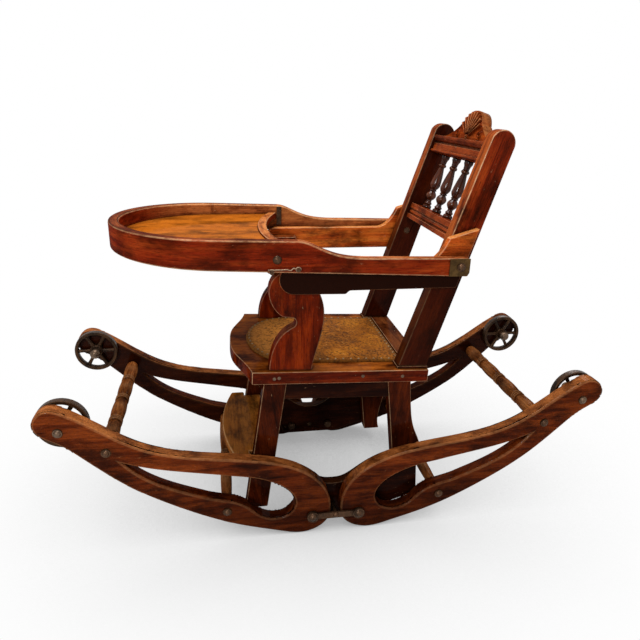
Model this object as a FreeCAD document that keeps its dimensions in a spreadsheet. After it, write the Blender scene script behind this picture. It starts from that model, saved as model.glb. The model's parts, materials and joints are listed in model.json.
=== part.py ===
"""Child's high chair that folds down into a rocker: every piece as its own solid.

Millimetres.  The child faces -X, its left hand is on the -Y side, +Z is up and
the floor is Z = 0.  The two rocker frames mirror each other about X = 0.
"""
import FreeCAD, Part
import math
import os

import Sketcher

os.makedirs("parts", exist_ok=True)
doc = FreeCAD.newDocument("rocking_high_chair")
sheet = doc.addObject("Spreadsheet::Sheet", "Dimensions")

DIMENSIONS = {
    # rocker frames, measured outwards from the middle of the chair
    "rocker_inner": 134.0,
    "rocker_thick": 22.0,
    "link_reach": 35.8,
    "link_height": 30.7,
    "lower_reach": 164.9,
    "lower_height": 51.5,
    "upper_reach": 326.5,
    "upper_height": 166.8,
    "axle_reach": 385.0,
    "axle_height": 202.6,
    # iron wheels
    "wheel_radius": 36.5,
    "wheel_width": 11.0,
    "rim_depth": 6.5,
    "web_thick": 5.0,
    "hub_radius": 11.0,
    "hub_length": 20.0,
    "spoke_width": 6.5,
    "spoke_count": 6.0,
    "wheel_gap": 1.0,
    # bolts, straps and their running fits
    "bolt_radius": 4.0,
    "bolt_hole": 4.05,
    "head_radius": 6.5,
    "washer_radius": 9.0,
    "small_head_radius": 4.8,
    "small_washer_radius": 6.2,
    "washer_thick": 1.5,
    "nut_height": 6.0,
    "strap_thick": 3.0,
    "strap_half": 5.0,
    "strap_gap": 0.5,
    "rivet_radius": 3.0,
    "rivet_hole": 3.05,
    # side yokes that carry the rocker frames
    "yoke_thick": 17.5,
    # seat
    "seat_top": 258.8,
    "seat_tilt": 2.1,
    "seat_thick": 19.5,
    "seat_half": 126.0,
    "seat_front": 151.0,
    "seat_corner": 122.8,
    "seat_rear": 141.6,
    "panel_half": 95.0,
    "panel_front": 125.0,
    "panel_rear": 107.0,
    "panel_thick": 5.0,
    "ledge_front": 93.0,
    "ledge_notch": 108.0,
    "ledge_rear": 140.6,
    "ledge_inner": 96.0,
    "ledge_half": 121.0,
    "ledge_thick": 4.0,
    # legs, rails and footrest
    "leg_inner": 96.0,
    "leg_thick": 20.0,
    "leg_bottom": 24.0,
    "rail_thick": 16.0,
    "rail_height": 36.0,
    "side_rail_inner": 98.0,
    "side_rail_height": 30.0,
    "front_rail_start": -95.0,
    "rear_rail_start": 92.0,
    "footrest_rail_start": -117.0,
    "footrest_top": 115.0,
    "footrest_thick": 13.0,
    "footrest_rail_height": 22.0,
    # back
    "back_lean": 17.5,
    "back_foot": 117.0,
    "back_height": 260.5,
    "back_depth": 6.5,
    "upright_inner": 97.0,
    "upright_thick": 24.0,
    "upright_foot_width": 42.0,
    "upright_top_width": 35.5,
    "upright_length": 353.0,
    "low_rail_start": 187.7,
    "low_rail_height": 26.0,
    "top_rail_start": 303.9,
    "top_rail_height": 27.0,
    "crest_thick": 17.0,
    "crest_rise": 46.2,
    "spindle_count": 4.0,
    "spindle_pitch": 48.0,
    # arms
    "arm_thick": 12.0,
    "support_inner": 99.0,
    "support_thick": 22.0,
    # tray
    "tray_bottom": 403.0,
    "tray_height": 64.0,
    "tray_half": 149.0,
    "tray_wall": 15.0,
    "tray_centre": 169.5,
    "tray_tail": 177.0,
    "board_top": 443.0,
    "board_thick": 8.0,
    "edge_thick": 3.0,
    "tray_pivot_reach": 164.3,
    "tray_pivot_height": 418.7,
    "plate_thick": 1.5,
    "stud_radius": 6.0,
    "stud_height": 3.5,
    "wire_radius": 1.1,
    "hook_reach": 61.5,
    "hook_height": 421.6,
    "hook_length": 41.0,
    "hook_offset": 5.4,
    "hook_pin_radius": 1.5,
    "hook_ring": 3.0,
    "hook_gap": 0.4,
    "hook_pin_length": 7.4,
}

for row, (alias, number) in enumerate(DIMENSIONS.items(), start=1):
    sheet.set(f"A{row}", alias)
    sheet.set(f"B{row}", str(number))
    sheet.setAlias(f"B{row}", alias)
doc.recompute()

SIDES = {"left": -1, "right": 1}
ENDS = {"front": -1, "rear": 1}
FULL_TURN = 360
QUARTER_TURN = 90
finished = []


def size(alias):
    """The number that a cell of the sheet holds."""
    return float(sheet.get(alias))


def bound(text):
    """An expression in which every alias is read from the sheet."""
    words = text.split()
    return " ".join("Dimensions." + word if word in DIMENSIONS else word for word in words)


def bind(thing, **sizes):
    """Tie properties of an object to expressions on the sheet."""
    for name, text in sizes.items():
        thing.setExpression(name, bound(text))


def shift(thing, x="0", y="0", z="0"):
    """Tie an object's place to expressions on the sheet."""
    for axis, text in (("x", x), ("y", y), ("z", z)):
        thing.setExpression(f".Placement.Base.{axis}", bound(text))


def finish(thing, label):
    """Name a finished piece and keep it for the hand-out."""
    thing.Label = label
    finished.append(thing)
    return thing


def flat_points(points):
    return [FreeCAD.Vector(across, up) for across, up in points]


def sketch_on(body, role, start=None, steps=()):
    """A sketch on one of the body's planes, with a closed outline if steps are given.

    A step of one point is a straight edge, two points are an arc through the first
    to the second, and three or more are a smooth curve through them all.
    """
    sketch = body.newObject("Sketcher::SketchObject", "Outline")
    plane = next(item for item in body.Origin.OriginFeatures if item.Role == role)
    sketch.AttachmentSupport = [(plane, "")]
    sketch.MapMode = "FlatFace"
    here = start
    for step in steps:
        points = flat_points([here, *step])
        if len(points) == 2:
            sketch.addGeometry(Part.LineSegment(*points))
        elif len(points) == 3:
            sketch.addGeometry(Part.Arc(*points))
        else:
            curve = Part.BSplineCurve()
            curve.interpolate(points)
            sketch.addGeometry(curve)
        here = step[-1]
    return sketch


def board(name, role, start, steps, thick, side_type="Symmetric"):
    """A flat board: an outline on a plane of the body, padded to its thickness."""
    body = doc.addObject("PartDesign::Body", name)
    pad = body.newObject("PartDesign::Pad", "Thickness")
    sketch = sketch_on(body, role, start, steps)
    pad.Profile = sketch
    pad.SideType = side_type
    bind(pad, Length=thick)
    body.Tip = pad
    return body


def pierce(body, role, start, steps):
    """Cut an outline right through a board."""
    sketch = sketch_on(body, role, start, steps)
    return pocket_of(body, sketch)


def drill(body, centres, radius="bolt_hole"):
    """Bore round holes across a board, from one side face to the other."""
    sketch = sketch_on(body, "XZ_Plane")
    for across, up in centres:
        circle = Part.Circle(FreeCAD.Vector(across, up), FreeCAD.Vector(0, 0, 1), size(radius))
        hole = sketch.addGeometry(circle)
        rule = sketch.addConstraint(Sketcher.Constraint("Radius", hole, size(radius)))
        sketch.setExpression(f"Constraints[{rule}]", bound(radius))
    return pocket_of(body, sketch)


def pocket_of(body, sketch):
    pocket = body.newObject("PartDesign::Pocket", "Opening")
    pocket.Profile = sketch
    pocket.Type = "ThroughAll"
    pocket.SideType = "Symmetric"
    body.Tip = pocket
    return pocket


def turned(name, start, steps):
    """A lathe piece about its own Z axis, from half its outline as (radius, along)."""
    body = doc.addObject("PartDesign::Body", name)
    sketch = sketch_on(body, "XZ_Plane", start, steps)
    lathe = body.newObject("PartDesign::Revolution", "Turning")
    lathe.Profile = sketch
    lathe.ReferenceAxis = (sketch, ["V_Axis"])
    lathe.Angle = FULL_TURN
    body.Tip = lathe
    return body


def dome(radius, base, rise):
    """The arc of a round cap, centred on the lathe's axis, from its rim to its top."""
    ball = (radius ** 2 + rise ** 2) / (2 * rise)
    halfway = math.asin(radius / ball) / 2
    centre = base + rise - ball
    return [(ball * math.sin(halfway), centre + ball * math.cos(halfway)), (0.0, base + rise)]


def point_outwards(thing, side):
    """Lay a turned piece across the chair, its top pointing out on the given side."""
    turn = FreeCAD.Rotation(FreeCAD.Vector(1, 0, 0), -side * QUARTER_TURN)
    thing.Placement = FreeCAD.Placement(FreeCAD.Vector(), turn)
    return thing


def group(label, pieces):
    """Identical pieces of one kind, kept as separate solids in one node."""
    compound = doc.addObject("Part::Compound", label)
    compound.Links = pieces
    return finish(compound, label)


# Rocker frames

# Outline of one rocker half, as (distance from the chair's middle, height).
ROCKER_END_TOP = (366.0, 224.2)
ROCKER_TOP_EDGE = [(345.5, 210.6), (314.5, 189.0), (282.5, 170.0), (201.5, 147.0), (116.5, 134.5),
                   (57.7, 115.5), (19.8, 83.5), (7.4, 45.0)]
ROCKER_FOOT = [(18.7, 12.8), (46.3, 0.3), (87.7, 6.5), (148.0, 24.7), (233.6, 64.6), (313.2, 117.0),
               (340.0, 141.0), (363.0, 163.0)]
ROCKER_END = [(377.0, 175.8), (388.0, 183.8), (399.0, 190.2), (408.5, 196.4), (415.0, 204.2), (417.3, 212.5),
              (416.2, 220.8), (411.6, 228.4), (403.8, 234.0), (393.5, 236.0), (380.5, 232.2), ROCKER_END_TOP]
# The long tapering slot, which opens into a round eye in the paddle.
SLOT_TIP = (305.0, 146.5)
SLOT_UPPER = [(257.0, 131.5), (205.0, 121.0), (160.0, 112.2)]
SLOT_EYE = [(140.0, 108.6), (122.0, 104.5), (99.0, 96.0), (79.5, 84.5), (67.0, 71.0), (62.5, 57.5),
            (67.0, 43.5), (82.0, 33.0), (100.5, 32.5), (118.5, 41.5), (133.0, 55.0), (148.0, 65.0),
            (170.0, 72.0), (196.2, 80.0)]
SLOT_LOWER = [(228.0, 93.0), (260.3, 109.0), SLOT_TIP]


def outwards(points, end):
    """Points measured outwards from the middle, set at the front or rear end."""
    return [(end * reach, height) for reach, height in points]


def rocker(end_name, side_name):
    end = ENDS[end_name]
    start = outwards([ROCKER_END_TOP], end)[0]
    steps = [outwards(step, end) for step in (ROCKER_TOP_EDGE, ROCKER_FOOT, ROCKER_END)]
    body = board("Rocker", "XZ_Plane", start, steps, "rocker_thick")
    tip = outwards([SLOT_TIP], end)[0]
    pierce(body, "XZ_Plane", tip, [outwards(step, end) for step in (SLOT_UPPER, SLOT_EYE, SLOT_LOWER)])
    holes = [(size(f"{bolt}_reach"), size(f"{bolt}_height")) for bolt in ("link", "lower", "upper", "axle")]
    drill(body, outwards(holes, end))
    shift(body, y=f"{SIDES[side_name]} * ( rocker_inner + rocker_thick / 2 )")
    return finish(body, f"{end_name}_rocker_{side_name}")


# How high the dome of a bolt stands, as a share of its radius.
DOME_RISE = 0.69


def bolt(length, nut, head_size="head_radius", washer_size="washer_radius"):
    """A dome-headed bolt on a washer; its seat is at zero and its shank points down."""
    start = (0.0, -length - (size("nut_height") if nut else 0.0))
    radius = size("bolt_radius")
    head = size(head_size)
    rim = size(washer_size)
    washer = size("washer_thick")
    steps = []
    if nut:
        steps += [[(head, start[1])], [(head, -length)], [(radius, -length)]]
    else:
        steps += [[(radius, start[1])]]
    steps += [[(radius, 0.0)], [(rim, 0.0)], [(rim, washer)], [(head, washer)],
              dome(head, washer, head * DOME_RISE), [start]]
    return turned("Bolt", start, steps)


def small_bolt(length):
    """A bolt with a smaller head, whose end is flush with the inner face."""
    return bolt(length, nut=False, head_size="small_head_radius", washer_size="small_washer_radius")


def frame_bolts(end_name):
    pieces = []
    for side in SIDES.values():
        for place in ("lower", "upper"):
            piece = point_outwards(small_bolt(size("rocker_thick")), side)
            shift(piece, f"{ENDS[end_name]} * {place}_reach", f"{side} * ( rocker_inner + rocker_thick )",
                  f"{place}_height")
            pieces.append(piece)
    return group(f"{end_name}_stretcher_bolts", pieces)


def axle(side):
    """Axle bolt through the rocker and the wheel's hub, with a domed nut at the inner end."""
    radius = size("bolt_radius")
    inner = size("rocker_thick") + size("hub_length") + 2 * size("wheel_gap")
    nut = size("hub_radius") * 0.8
    tip = -inner - nut
    washer = size("washer_thick")
    rim = size("small_washer_radius")
    head = size("small_head_radius")
    shoulder = math.cos(math.pi / 4)
    steps = [[(nut * shoulder, -inner - nut * shoulder), (nut, -inner)], [(radius, -inner)], [(radius, 0.0)],
             [(rim, 0.0)], [(rim, washer)], [(head, washer)], dome(head, washer, head * DOME_RISE),
             [(0.0, tip)]]
    return point_outwards(turned("Axle", (0.0, tip), steps), side)


def frame_axles(end_name):
    pieces = []
    for side in SIDES.values():
        piece = axle(side)
        shift(piece, f"{ENDS[end_name]} * axle_reach", f"{side} * ( rocker_inner + rocker_thick )",
              "axle_height")
        pieces.append(piece)
    return group(f"{end_name}_axles", pieces)


def stretcher(label, place, end, barrels, neck, barrel, ring):
    """A turned cross rail: barrels with a pair of rings between each and its neighbour."""
    length = 2 * size("rocker_inner")
    ring_width = 5.0
    pair = 2 * ring_width
    barrel_length = (length - (barrels - 1) * pair) / barrels
    along = -length / 2
    steps = [[(neck, along)]]
    for number in range(barrels):
        steps.append([(barrel, along + barrel_length / 2), (neck, along + barrel_length)])
        along += barrel_length
        if number < barrels - 1:
            for _ in range(2):
                steps.append([(ring, along + ring_width / 2), (neck, along + ring_width)])
                along += ring_width
    steps += [[(0.0, length / 2)], [(0.0, -length / 2)]]
    body = point_outwards(turned("Stretcher", (0.0, -length / 2), steps), 1)
    shift(body, f"{end} * {place}_reach", "0", f"{place}_height")
    return finish(body, label)


def wheel(end_name, side_name):
    """A spoked iron wheel: rim, web and hub turned in one, the windows cut between the spokes."""
    side = SIDES[side_name]
    tread = size("wheel_radius")
    half = size("wheel_width") / 2
    rim = tread - size("rim_depth")
    web = size("web_thick") / 2
    hub = size("hub_radius")
    bore = size("bolt_hole")
    inner_end = size("hub_length") - half
    crown = 0.8
    steps = [[(hub, -half)], [(hub, -web)], [(rim, -web)], [(rim, -half)], [(tread - crown, -half)],
             [(tread, 0.0), (tread - crown, half)], [(rim, half)], [(rim, web)], [(hub, web)],
             [(hub * 0.8, inner_end)], [(bore, inner_end)], [(bore, -half)]]
    body = turned("Wheel", (bore, -half), steps)
    spokes = int(size("spoke_count"))
    gap = math.tau / spokes
    corners = []
    for radius in (hub + 1.0, rim - 1.0):
        lean = math.asin(size("spoke_width") / 2 / radius)
        corners.append([(radius * math.cos(angle), radius * math.sin(angle))
                        for angle in (lean, gap / 2, gap - lean)])
    inner, outer = corners
    window = pierce(body, "XY_Plane", inner[0], [[outer[0]], outer[1:], [inner[2]], [inner[1], inner[0]]])
    doc.recompute()
    pattern = body.newObject("PartDesign::PolarPattern", "Windows")
    pattern.Originals = [window]
    pattern.Axis = (next(item for item in body.Origin.OriginFeatures if item.Role == "Z_Axis"), [""])
    pattern.Angle = FULL_TURN
    pattern.Occurrences = spokes
    body.Tip = pattern
    point_outwards(body, -side)
    shift(body, f"{ENDS[end_name]} * axle_reach", f"{side} * ( rocker_inner - wheel_gap - wheel_width / 2 )",
          "axle_height")
    return finish(body, f"{end_name}_wheel_{side_name}")


for end_name, end in ENDS.items():
    for side_name in SIDES:
        rocker(end_name, side_name)
        wheel(end_name, side_name)
    stretcher(f"{end_name}_upper_stretcher", "upper", end, 4, 8.5, 11.0, 10.5)
    stretcher(f"{end_name}_lower_stretcher", "lower", end, 2, 6.0, 9.0, 8.0)
    frame_bolts(end_name)
    frame_axles(end_name)

# Side yokes, straps and pivot bolts

# Curved yoke between a front and a rear leg, dipping to the pivots; its rear wing is deeper.
YOKE_START = (-122.0, 118.0)
YOKE_TOP = [(-90.0, 113.0), (-60.0, 101.0), (-35.0, 84.5), (-14.0, 72.5), (0.0, 71.0), (14.0, 72.5),
            (35.0, 84.5), (60.0, 101.0), (90.0, 113.0), (131.0, 118.0)]
YOKE_REAR_END = [(136.0, 39.0)]
YOKE_REAR_FOOT = [(100.0, 30.0), (55.0, 14.0)]
YOKE_SOLE = [(-50.0, 14.0)]
YOKE_FRONT_FOOT = [(-57.0, 31.0), (-66.0, 57.0), (-80.0, 75.0), (-99.0, 86.0), (-122.0, 88.0)]


def yoke(side_name):
    steps = [YOKE_TOP, YOKE_REAR_END, YOKE_REAR_FOOT, YOKE_SOLE, YOKE_FRONT_FOOT, [YOKE_START]]
    body = board("Yoke", "XZ_Plane", YOKE_START, steps, "yoke_thick")
    drill(body, [(end * size("link_reach"), size("link_height")) for end in ENDS.values()])
    drill(body, [(0.0, size("link_height"))], "rivet_hole")
    shift(body, y=f"{SIDES[side_name]} * ( leg_inner + leg_thick + yoke_thick / 2 )")
    return finish(body, f"side_yoke_{side_name}")


def strap(side_name):
    """An iron strap over both pivot bolts: straight sides and round ends."""
    reach = size("link_reach")
    height = size("link_height")
    eye = size("washer_radius")
    waist = size("strap_half")
    meet = math.sqrt(eye ** 2 - waist ** 2)
    steps = []
    for end in (1, -1):
        steps.append([(end * (reach - meet), height - end * waist)])
        steps.append([(end * (reach + eye), height), (end * (reach - meet), height + end * waist)])
    start = (-reach + meet, height - waist)
    body = board("Strap", "XZ_Plane", start, steps, "strap_thick")
    drill(body, [(end * reach, height) for end in ENDS.values()])
    drill(body, [(0.0, height)], "rivet_hole")
    shift(body, y=f"{SIDES[side_name]} * ( rocker_inner + rocker_thick + strap_gap + strap_thick / 2 )")
    return finish(body, f"link_strap_{side_name}")


def pivot_bolts():
    """The bolts that the rocker frames turn on, through strap, rocker and yoke."""
    pieces = []
    yoke_inner = size("leg_inner") + size("leg_thick")
    strap_face = size("rocker_inner") + size("rocker_thick") + size("strap_gap") + size("strap_thick")
    for side in SIDES.values():
        for end in ENDS.values():
            piece = point_outwards(bolt(strap_face - yoke_inner, nut=True), side)
            shift(piece, f"{end} * link_reach",
                  f"{side} * ( rocker_inner + rocker_thick + strap_gap + strap_thick )", "link_height")
            pieces.append(piece)
    return group("pivot_bolts", pieces)


def strap_rivets():
    """Long rivets that tie the middle of each strap to its yoke."""
    pieces = []
    yoke_inner = size("leg_inner") + size("leg_thick")
    strap_face = size("rocker_inner") + size("rocker_thick") + size("strap_gap") + size("strap_thick")
    shank = size("rivet_radius")
    head = shank * 1.5
    for side in SIDES.values():
        steps = [[(shank, yoke_inner - strap_face)], [(shank, 0.0)], [(head, 0.0)],
                 dome(head, 0.0, head * 0.7), [(0.0, yoke_inner - strap_face)]]
        piece = point_outwards(turned("Rivet", (0.0, yoke_inner - strap_face), steps), side)
        shift(piece, "0", f"{side} * ( rocker_inner + rocker_thick + strap_gap + strap_thick )", "link_height")
        pieces.append(piece)
    return group("strap_rivets", pieces)


for side_name in SIDES:
    yoke(side_name)
    strap(side_name)
pivot_bolts()
strap_rivets()

# Seat

SEAT_SHOULDERS = [(0.70, 0.36), (0.36, 0.87)]
PANEL_ROUND = 0.72


def on_seat(thing, x="0", y="0", above="0"):
    """Set a piece in the seat's own frame, which tilts down a little to the rear."""
    turn = FreeCAD.Rotation(FreeCAD.Vector(0, 1, 0), size("seat_tilt"))
    thing.Placement = FreeCAD.Placement(FreeCAD.Vector(), turn)
    thing.setExpression(".Placement.Rotation.Angle", bound("seat_tilt") + " * 1 deg")
    tilt = "( seat_tilt * 1 deg )"
    shift(thing, f"( {x} ) * cos{tilt} + ( {above} ) * sin{tilt}", y,
          f"seat_top - ( {x} ) * sin{tilt} + ( {above} ) * cos{tilt}")
    return thing


def seat_at(x, above=0.0):
    """Height of the tilted seat at a distance from the middle, or of a level above or below it."""
    tilt = math.radians(size("seat_tilt"))
    return size("seat_top") - x * math.tan(tilt) + above / math.cos(tilt)


def seat_board():
    """Seat board with square rear corners and a bowed front that sweeps in near its corners."""
    half = size("seat_half")
    corner = size("seat_corner")
    bow = size("seat_front") - corner
    near = [(-corner - bow * out, -half * across) for across, out in SEAT_SHOULDERS]
    far = [(x, -y) for x, y in reversed(near)]
    rear = size("seat_rear")
    steps = [[*near, (-size("seat_front"), 0.0), *far, (-corner, half)], [(rear, half)], [(rear, -half)],
             [(-corner, -half)]]
    body = board("Seat", "XY_Plane", (-corner, -half), steps, "seat_thick", "One side")
    return finish(on_seat(body, above="- seat_thick"), "seat_board")


def seat_panel():
    """The covered pad on the seat, with a rounded front."""
    half = size("panel_half")
    front = size("panel_front")
    rear = size("panel_rear")
    spring = -front + half * PANEL_ROUND
    lean = math.cos(math.pi / 4)
    round_front = [(spring - half * PANEL_ROUND * lean, -half * lean), (-front, 0.0),
                   (spring - half * PANEL_ROUND * lean, half * lean), (spring, half)]
    steps = [round_front, [(rear, half)], [(rear, -half)], [(spring, -half)]]
    body = board("Panel", "XY_Plane", (spring, -half), steps, "panel_thick", "One side")
    return finish(on_seat(body), "seat_panel")


def seat_rear_ledge():
    """The strip that the uprights stand on, cut back between them for the pad."""
    half = size("ledge_half")
    inner = size("ledge_inner")
    front = size("ledge_front")
    notch = size("ledge_notch")
    rear = size("ledge_rear")
    corners = [(front, -inner), (notch, -inner), (notch, inner), (front, inner), (front, half), (rear, half),
               (rear, -half), (front, -half)]
    steps = [[corner] for corner in corners]
    body = board("Ledge", "XY_Plane", corners[-1], steps, "ledge_thick", "One side")
    return finish(on_seat(body), "seat_rear_ledge")


seat_board()
seat_panel()
seat_rear_ledge()

# Legs, rails and footrest


def leg_top(x):
    """A point of a leg on the underside of the seat."""
    return (x, seat_at(x, -size("seat_thick")))


FRONT_LEG = [leg_top(-105.0), leg_top(-71.2), (-101.5, size("leg_bottom")), (-136.2, size("leg_bottom"))]
REAR_LEG_TOP = [leg_top(81.4), leg_top(118.3)]
REAR_LEG_BACK = [(122.0, 190.0), (130.7, 146.6), (142.3, 115.8), (137.1, 74.7), (135.8, size("leg_bottom"))]
REAR_LEG_TOE = (106.4, size("leg_bottom"))


def legs(side_name):
    side = SIDES[side_name]
    corners = FRONT_LEG
    front = board("Leg", "XZ_Plane", corners[-1], [[corner] for corner in corners], "leg_thick")
    rear = board("Leg", "XZ_Plane", REAR_LEG_TOE,
                 [[REAR_LEG_TOP[0]], [REAR_LEG_TOP[1]], REAR_LEG_BACK, [REAR_LEG_TOE]], "leg_thick")
    for end_name, leg in (("front", front), ("rear", rear)):
        shift(leg, y=f"{side} * ( leg_inner + leg_thick / 2 )")
        finish(leg, f"{end_name}_leg_{side_name}")


def down_leg(top, toe, drop):
    """The point on a leg's straight edge that is a given drop below its top."""
    part = drop / (top[1] - toe[1])
    return (top[0] + (toe[0] - top[0]) * part, top[1] - drop)


def side_rail(side_name):
    """A rail under the edge of the seat, its ends cut to the slopes of the legs."""
    drop = size("side_rail_height")
    corners = [FRONT_LEG[1], REAR_LEG_TOP[0], down_leg(REAR_LEG_TOP[0], REAR_LEG_TOE, drop),
               down_leg(FRONT_LEG[1], FRONT_LEG[2], drop)]
    body = board("Rail", "XZ_Plane", corners[-1], [[corner] for corner in corners], "rail_thick")
    shift(body, y=f"{SIDES[side_name]} * ( side_rail_inner + rail_thick / 2 )")
    return finish(body, f"side_seat_rail_{side_name}")


for side_name in SIDES:
    legs(side_name)
    side_rail(side_name)


def cross_rail(height):
    """A squared rail that runs between the legs of both sides."""
    body = doc.addObject("Part::Box", "Rail")
    bind(body, Length="rail_thick", Width="2 * leg_inner", Height=height)
    return body


for end_name in ENDS:
    rail = cross_rail("rail_height")
    on_seat(rail, f"{end_name}_rail_start", "- leg_inner", "- seat_thick - rail_height")
    finish(rail, f"{end_name}_seat_rail")
rail = cross_rail("footrest_rail_height")
shift(rail, "footrest_rail_start", "- leg_inner", "footrest_top - footrest_thick - footrest_rail_height")
finish(rail, "footrest_rail")

FOOTREST_TONGUE = [(-97.0, 94.0), (-127.0, 94.0), (-127.0, 107.0), (-150.0, 107.0)]
FOOTREST_BOW = [(-159.0, 75.0), (-168.0, 0.0), (-159.0, -75.0), (-150.0, -107.0)]


def footrest():
    """A bow-fronted board let in between the front legs."""
    near_side = [[(x, -y)] for x, y in reversed(FOOTREST_TONGUE[:-1])]
    steps = [[point] for point in FOOTREST_TONGUE[1:]] + [FOOTREST_BOW] + near_side + [[FOOTREST_TONGUE[0]]]
    body = board("Footrest", "XY_Plane", FOOTREST_TONGUE[0], steps, "footrest_thick", "One side")
    shift(body, z="footrest_top - footrest_thick")
    return finish(body, "footrest")


footrest()

# Back, in its own leaning frame: X is depth, Z runs up the lean from the foot of the uprights


def lean_back(body, y="0", depth="0"):
    """Set a piece of the back in its leaning frame."""
    turn = FreeCAD.Rotation(FreeCAD.Vector(0, 1, 0), size("back_lean"))
    body.Placement = FreeCAD.Placement(FreeCAD.Vector(), turn)
    body.setExpression(".Placement.Rotation.Angle", bound("back_lean") + " * 1 deg")
    shift(body, f"back_foot + {depth} * cos( back_lean * 1 deg )", y,
          f"back_height - {depth} * sin( back_lean * 1 deg )")
    return body


def tray_pivot_in_back():
    """The tray pivot, measured in the back's leaning frame."""
    lean = math.radians(size("back_lean"))
    x = size("tray_pivot_reach") - size("back_foot")
    z = size("tray_pivot_height") - size("back_height")
    return (x * math.cos(lean) - z * math.sin(lean), x * math.sin(lean) + z * math.cos(lean))


def upright(side_name):
    """A tapering post with a round top and a foot cut to stand on the ledge."""
    tilt = math.radians(size("seat_tilt"))
    lean = math.radians(size("back_lean")) - tilt
    slope = math.tan(lean)
    foot = size("upright_foot_width") / 2
    top = size("upright_top_width") / 2
    length = size("upright_length")
    drop = size("back_height") - seat_at(size("back_foot"))
    level = (size("ledge_thick") - drop * math.cos(tilt)) / math.cos(lean)
    start = (-foot, level - foot * slope)
    shoulder = length - top * 0.80
    steps = [[(-top, shoulder)], [(0.0, length), (top, shoulder)], [(foot, level + foot * slope)], [start]]
    body = board("Upright", "XZ_Plane", start, steps, "upright_thick")
    drill(body, [tray_pivot_in_back()])
    lean_back(body, f"{SIDES[side_name]} * ( upright_inner + upright_thick / 2 )")
    return finish(body, f"back_upright_{side_name}")


# Moulded rails, as (depth, height) from the rail's lower edge; depth is negative towards the sitter.
RAIL_BACK = 15.0
LOW_RAIL_MOULD = [[(-13.0, 0.0)], [(-13.0, 7.0)], [(-9.5, 8.5)], [(-11.0, 11.2), (-9.5, 14.0)], [(-9.5, 16.5)],
                  [(-12.0, 17.5)], [(-12.0, 26.0)], [(RAIL_BACK, 26.0)], [(RAIL_BACK, 0.0)]]
TOP_RAIL_MOULD = [[(-13.0, 0.0)], [(-14.4, 2.2), (-13.0, 4.4)], [(-11.8, 4.4)], [(-11.8, 14.4)], [(-9.5, 15.8)],
                  [(-9.5, 17.6)], [(-12.5, 18.6), (-14.6, 21.2)], [(-16.0, 24.2), (-15.0, 27.0)],
                  [(RAIL_BACK, 27.0)], [(RAIL_BACK, 0.0)]]


def moulded_rail(label, mould, base):
    """A cross rail of the back, run along its moulded section."""
    lift = size(base)
    steps = [[(depth, height + lift) for depth, height in step] for step in mould]
    body = doc.addObject("PartDesign::Body", "Rail")
    sketch = sketch_on(body, "XZ_Plane", (RAIL_BACK, lift), steps)
    pad = body.newObject("PartDesign::Pad", "Length")
    pad.Profile = sketch
    pad.SideType = "Symmetric"
    bind(pad, Length="2 * upright_inner")
    body.Tip = pad
    return finish(lean_back(body), label)


# Half of the crest, as (distance from the middle, height above the rail): shoulder, cove, step and shell.
CREST_SHOULDER = [(97.0, 3.2), (87.0, 3.6)]
CREST_COVE = [(71.0, 7.6), (57.0, 13.6), (46.5, 19.2), (38.5, 25.6)]
CREST_STEP = (34.0, 27.6)
CREST_SHELL_SIDE = (25.0, 38.6)


def crest():
    """The pediment over the back: low shoulders, long coved sides and a round shell top."""
    base = size("top_rail_start") + size("top_rail_height")
    top = (0.0, base + size("crest_rise"))

    def half(points, side):
        return [(side * across, base + up) for across, up in points]

    right = [*[[point] for point in half(CREST_SHOULDER, 1)], half(CREST_COVE, 1), half([CREST_STEP], 1),
             [*half([CREST_SHELL_SIDE], 1), top]]
    left = [half([CREST_SHELL_SIDE, CREST_STEP], -1), half([CREST_COVE[-1]], -1),
            half([*reversed(CREST_COVE[:-1]), CREST_SHOULDER[1]], -1), half([CREST_SHOULDER[0]], -1)]
    corner = (size("upright_inner"), base)
    steps = right + left + [[(-corner[0], base)], [corner]]
    body = board("Crest", "YZ_Plane", corner, steps, "crest_thick")
    return finish(lean_back(body, depth="back_depth"), "crest")


# Baluster outline as (radius, fraction of the length): foot rings, ball, vase, slim neck, bead and cap.
SPINDLE_TURNING = [
    [(7.2, 0.0)], [(7.2, 0.05)], [(5.0, 0.07)], [(6.4, 0.095), (4.6, 0.12)], [(4.0, 0.155)],
    [(8.5, 0.245), (4.4, 0.33)], [(5.8, 0.336)], [(5.8, 0.354)], [(4.9, 0.36)],
    [(8.8, 0.445), (7.3, 0.545), (4.8, 0.68), (4.2, 0.775)], [(6.5, 0.81), (4.6, 0.845)], [(4.9, 0.875)],
    [(6.8, 0.945)], [(6.8, 1.0)], [(0.0, 1.0)], [(0.0, 0.0)],
]


def spindle(number):
    base = size("low_rail_start") + size("low_rail_height")
    length = size("top_rail_start") - base
    steps = [[(radius, base + length * part) for radius, part in step] for step in SPINDLE_TURNING]
    body = turned("Spindle", (0.0, base), steps)
    lean_back(body, f"spindle_pitch * ( {number} - ( spindle_count + 1 ) / 2 )", "back_depth")
    return finish(body, f"back_spindle_{number}")


for side_name in SIDES:
    upright(side_name)
moulded_rail("lower_back_rail", LOW_RAIL_MOULD, "low_rail_start")
moulded_rail("top_back_rail", TOP_RAIL_MOULD, "top_rail_start")
crest()
for number in range(1, int(size("spindle_count")) + 1):
    spindle(number)

# Arms and their scrolled supports

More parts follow.
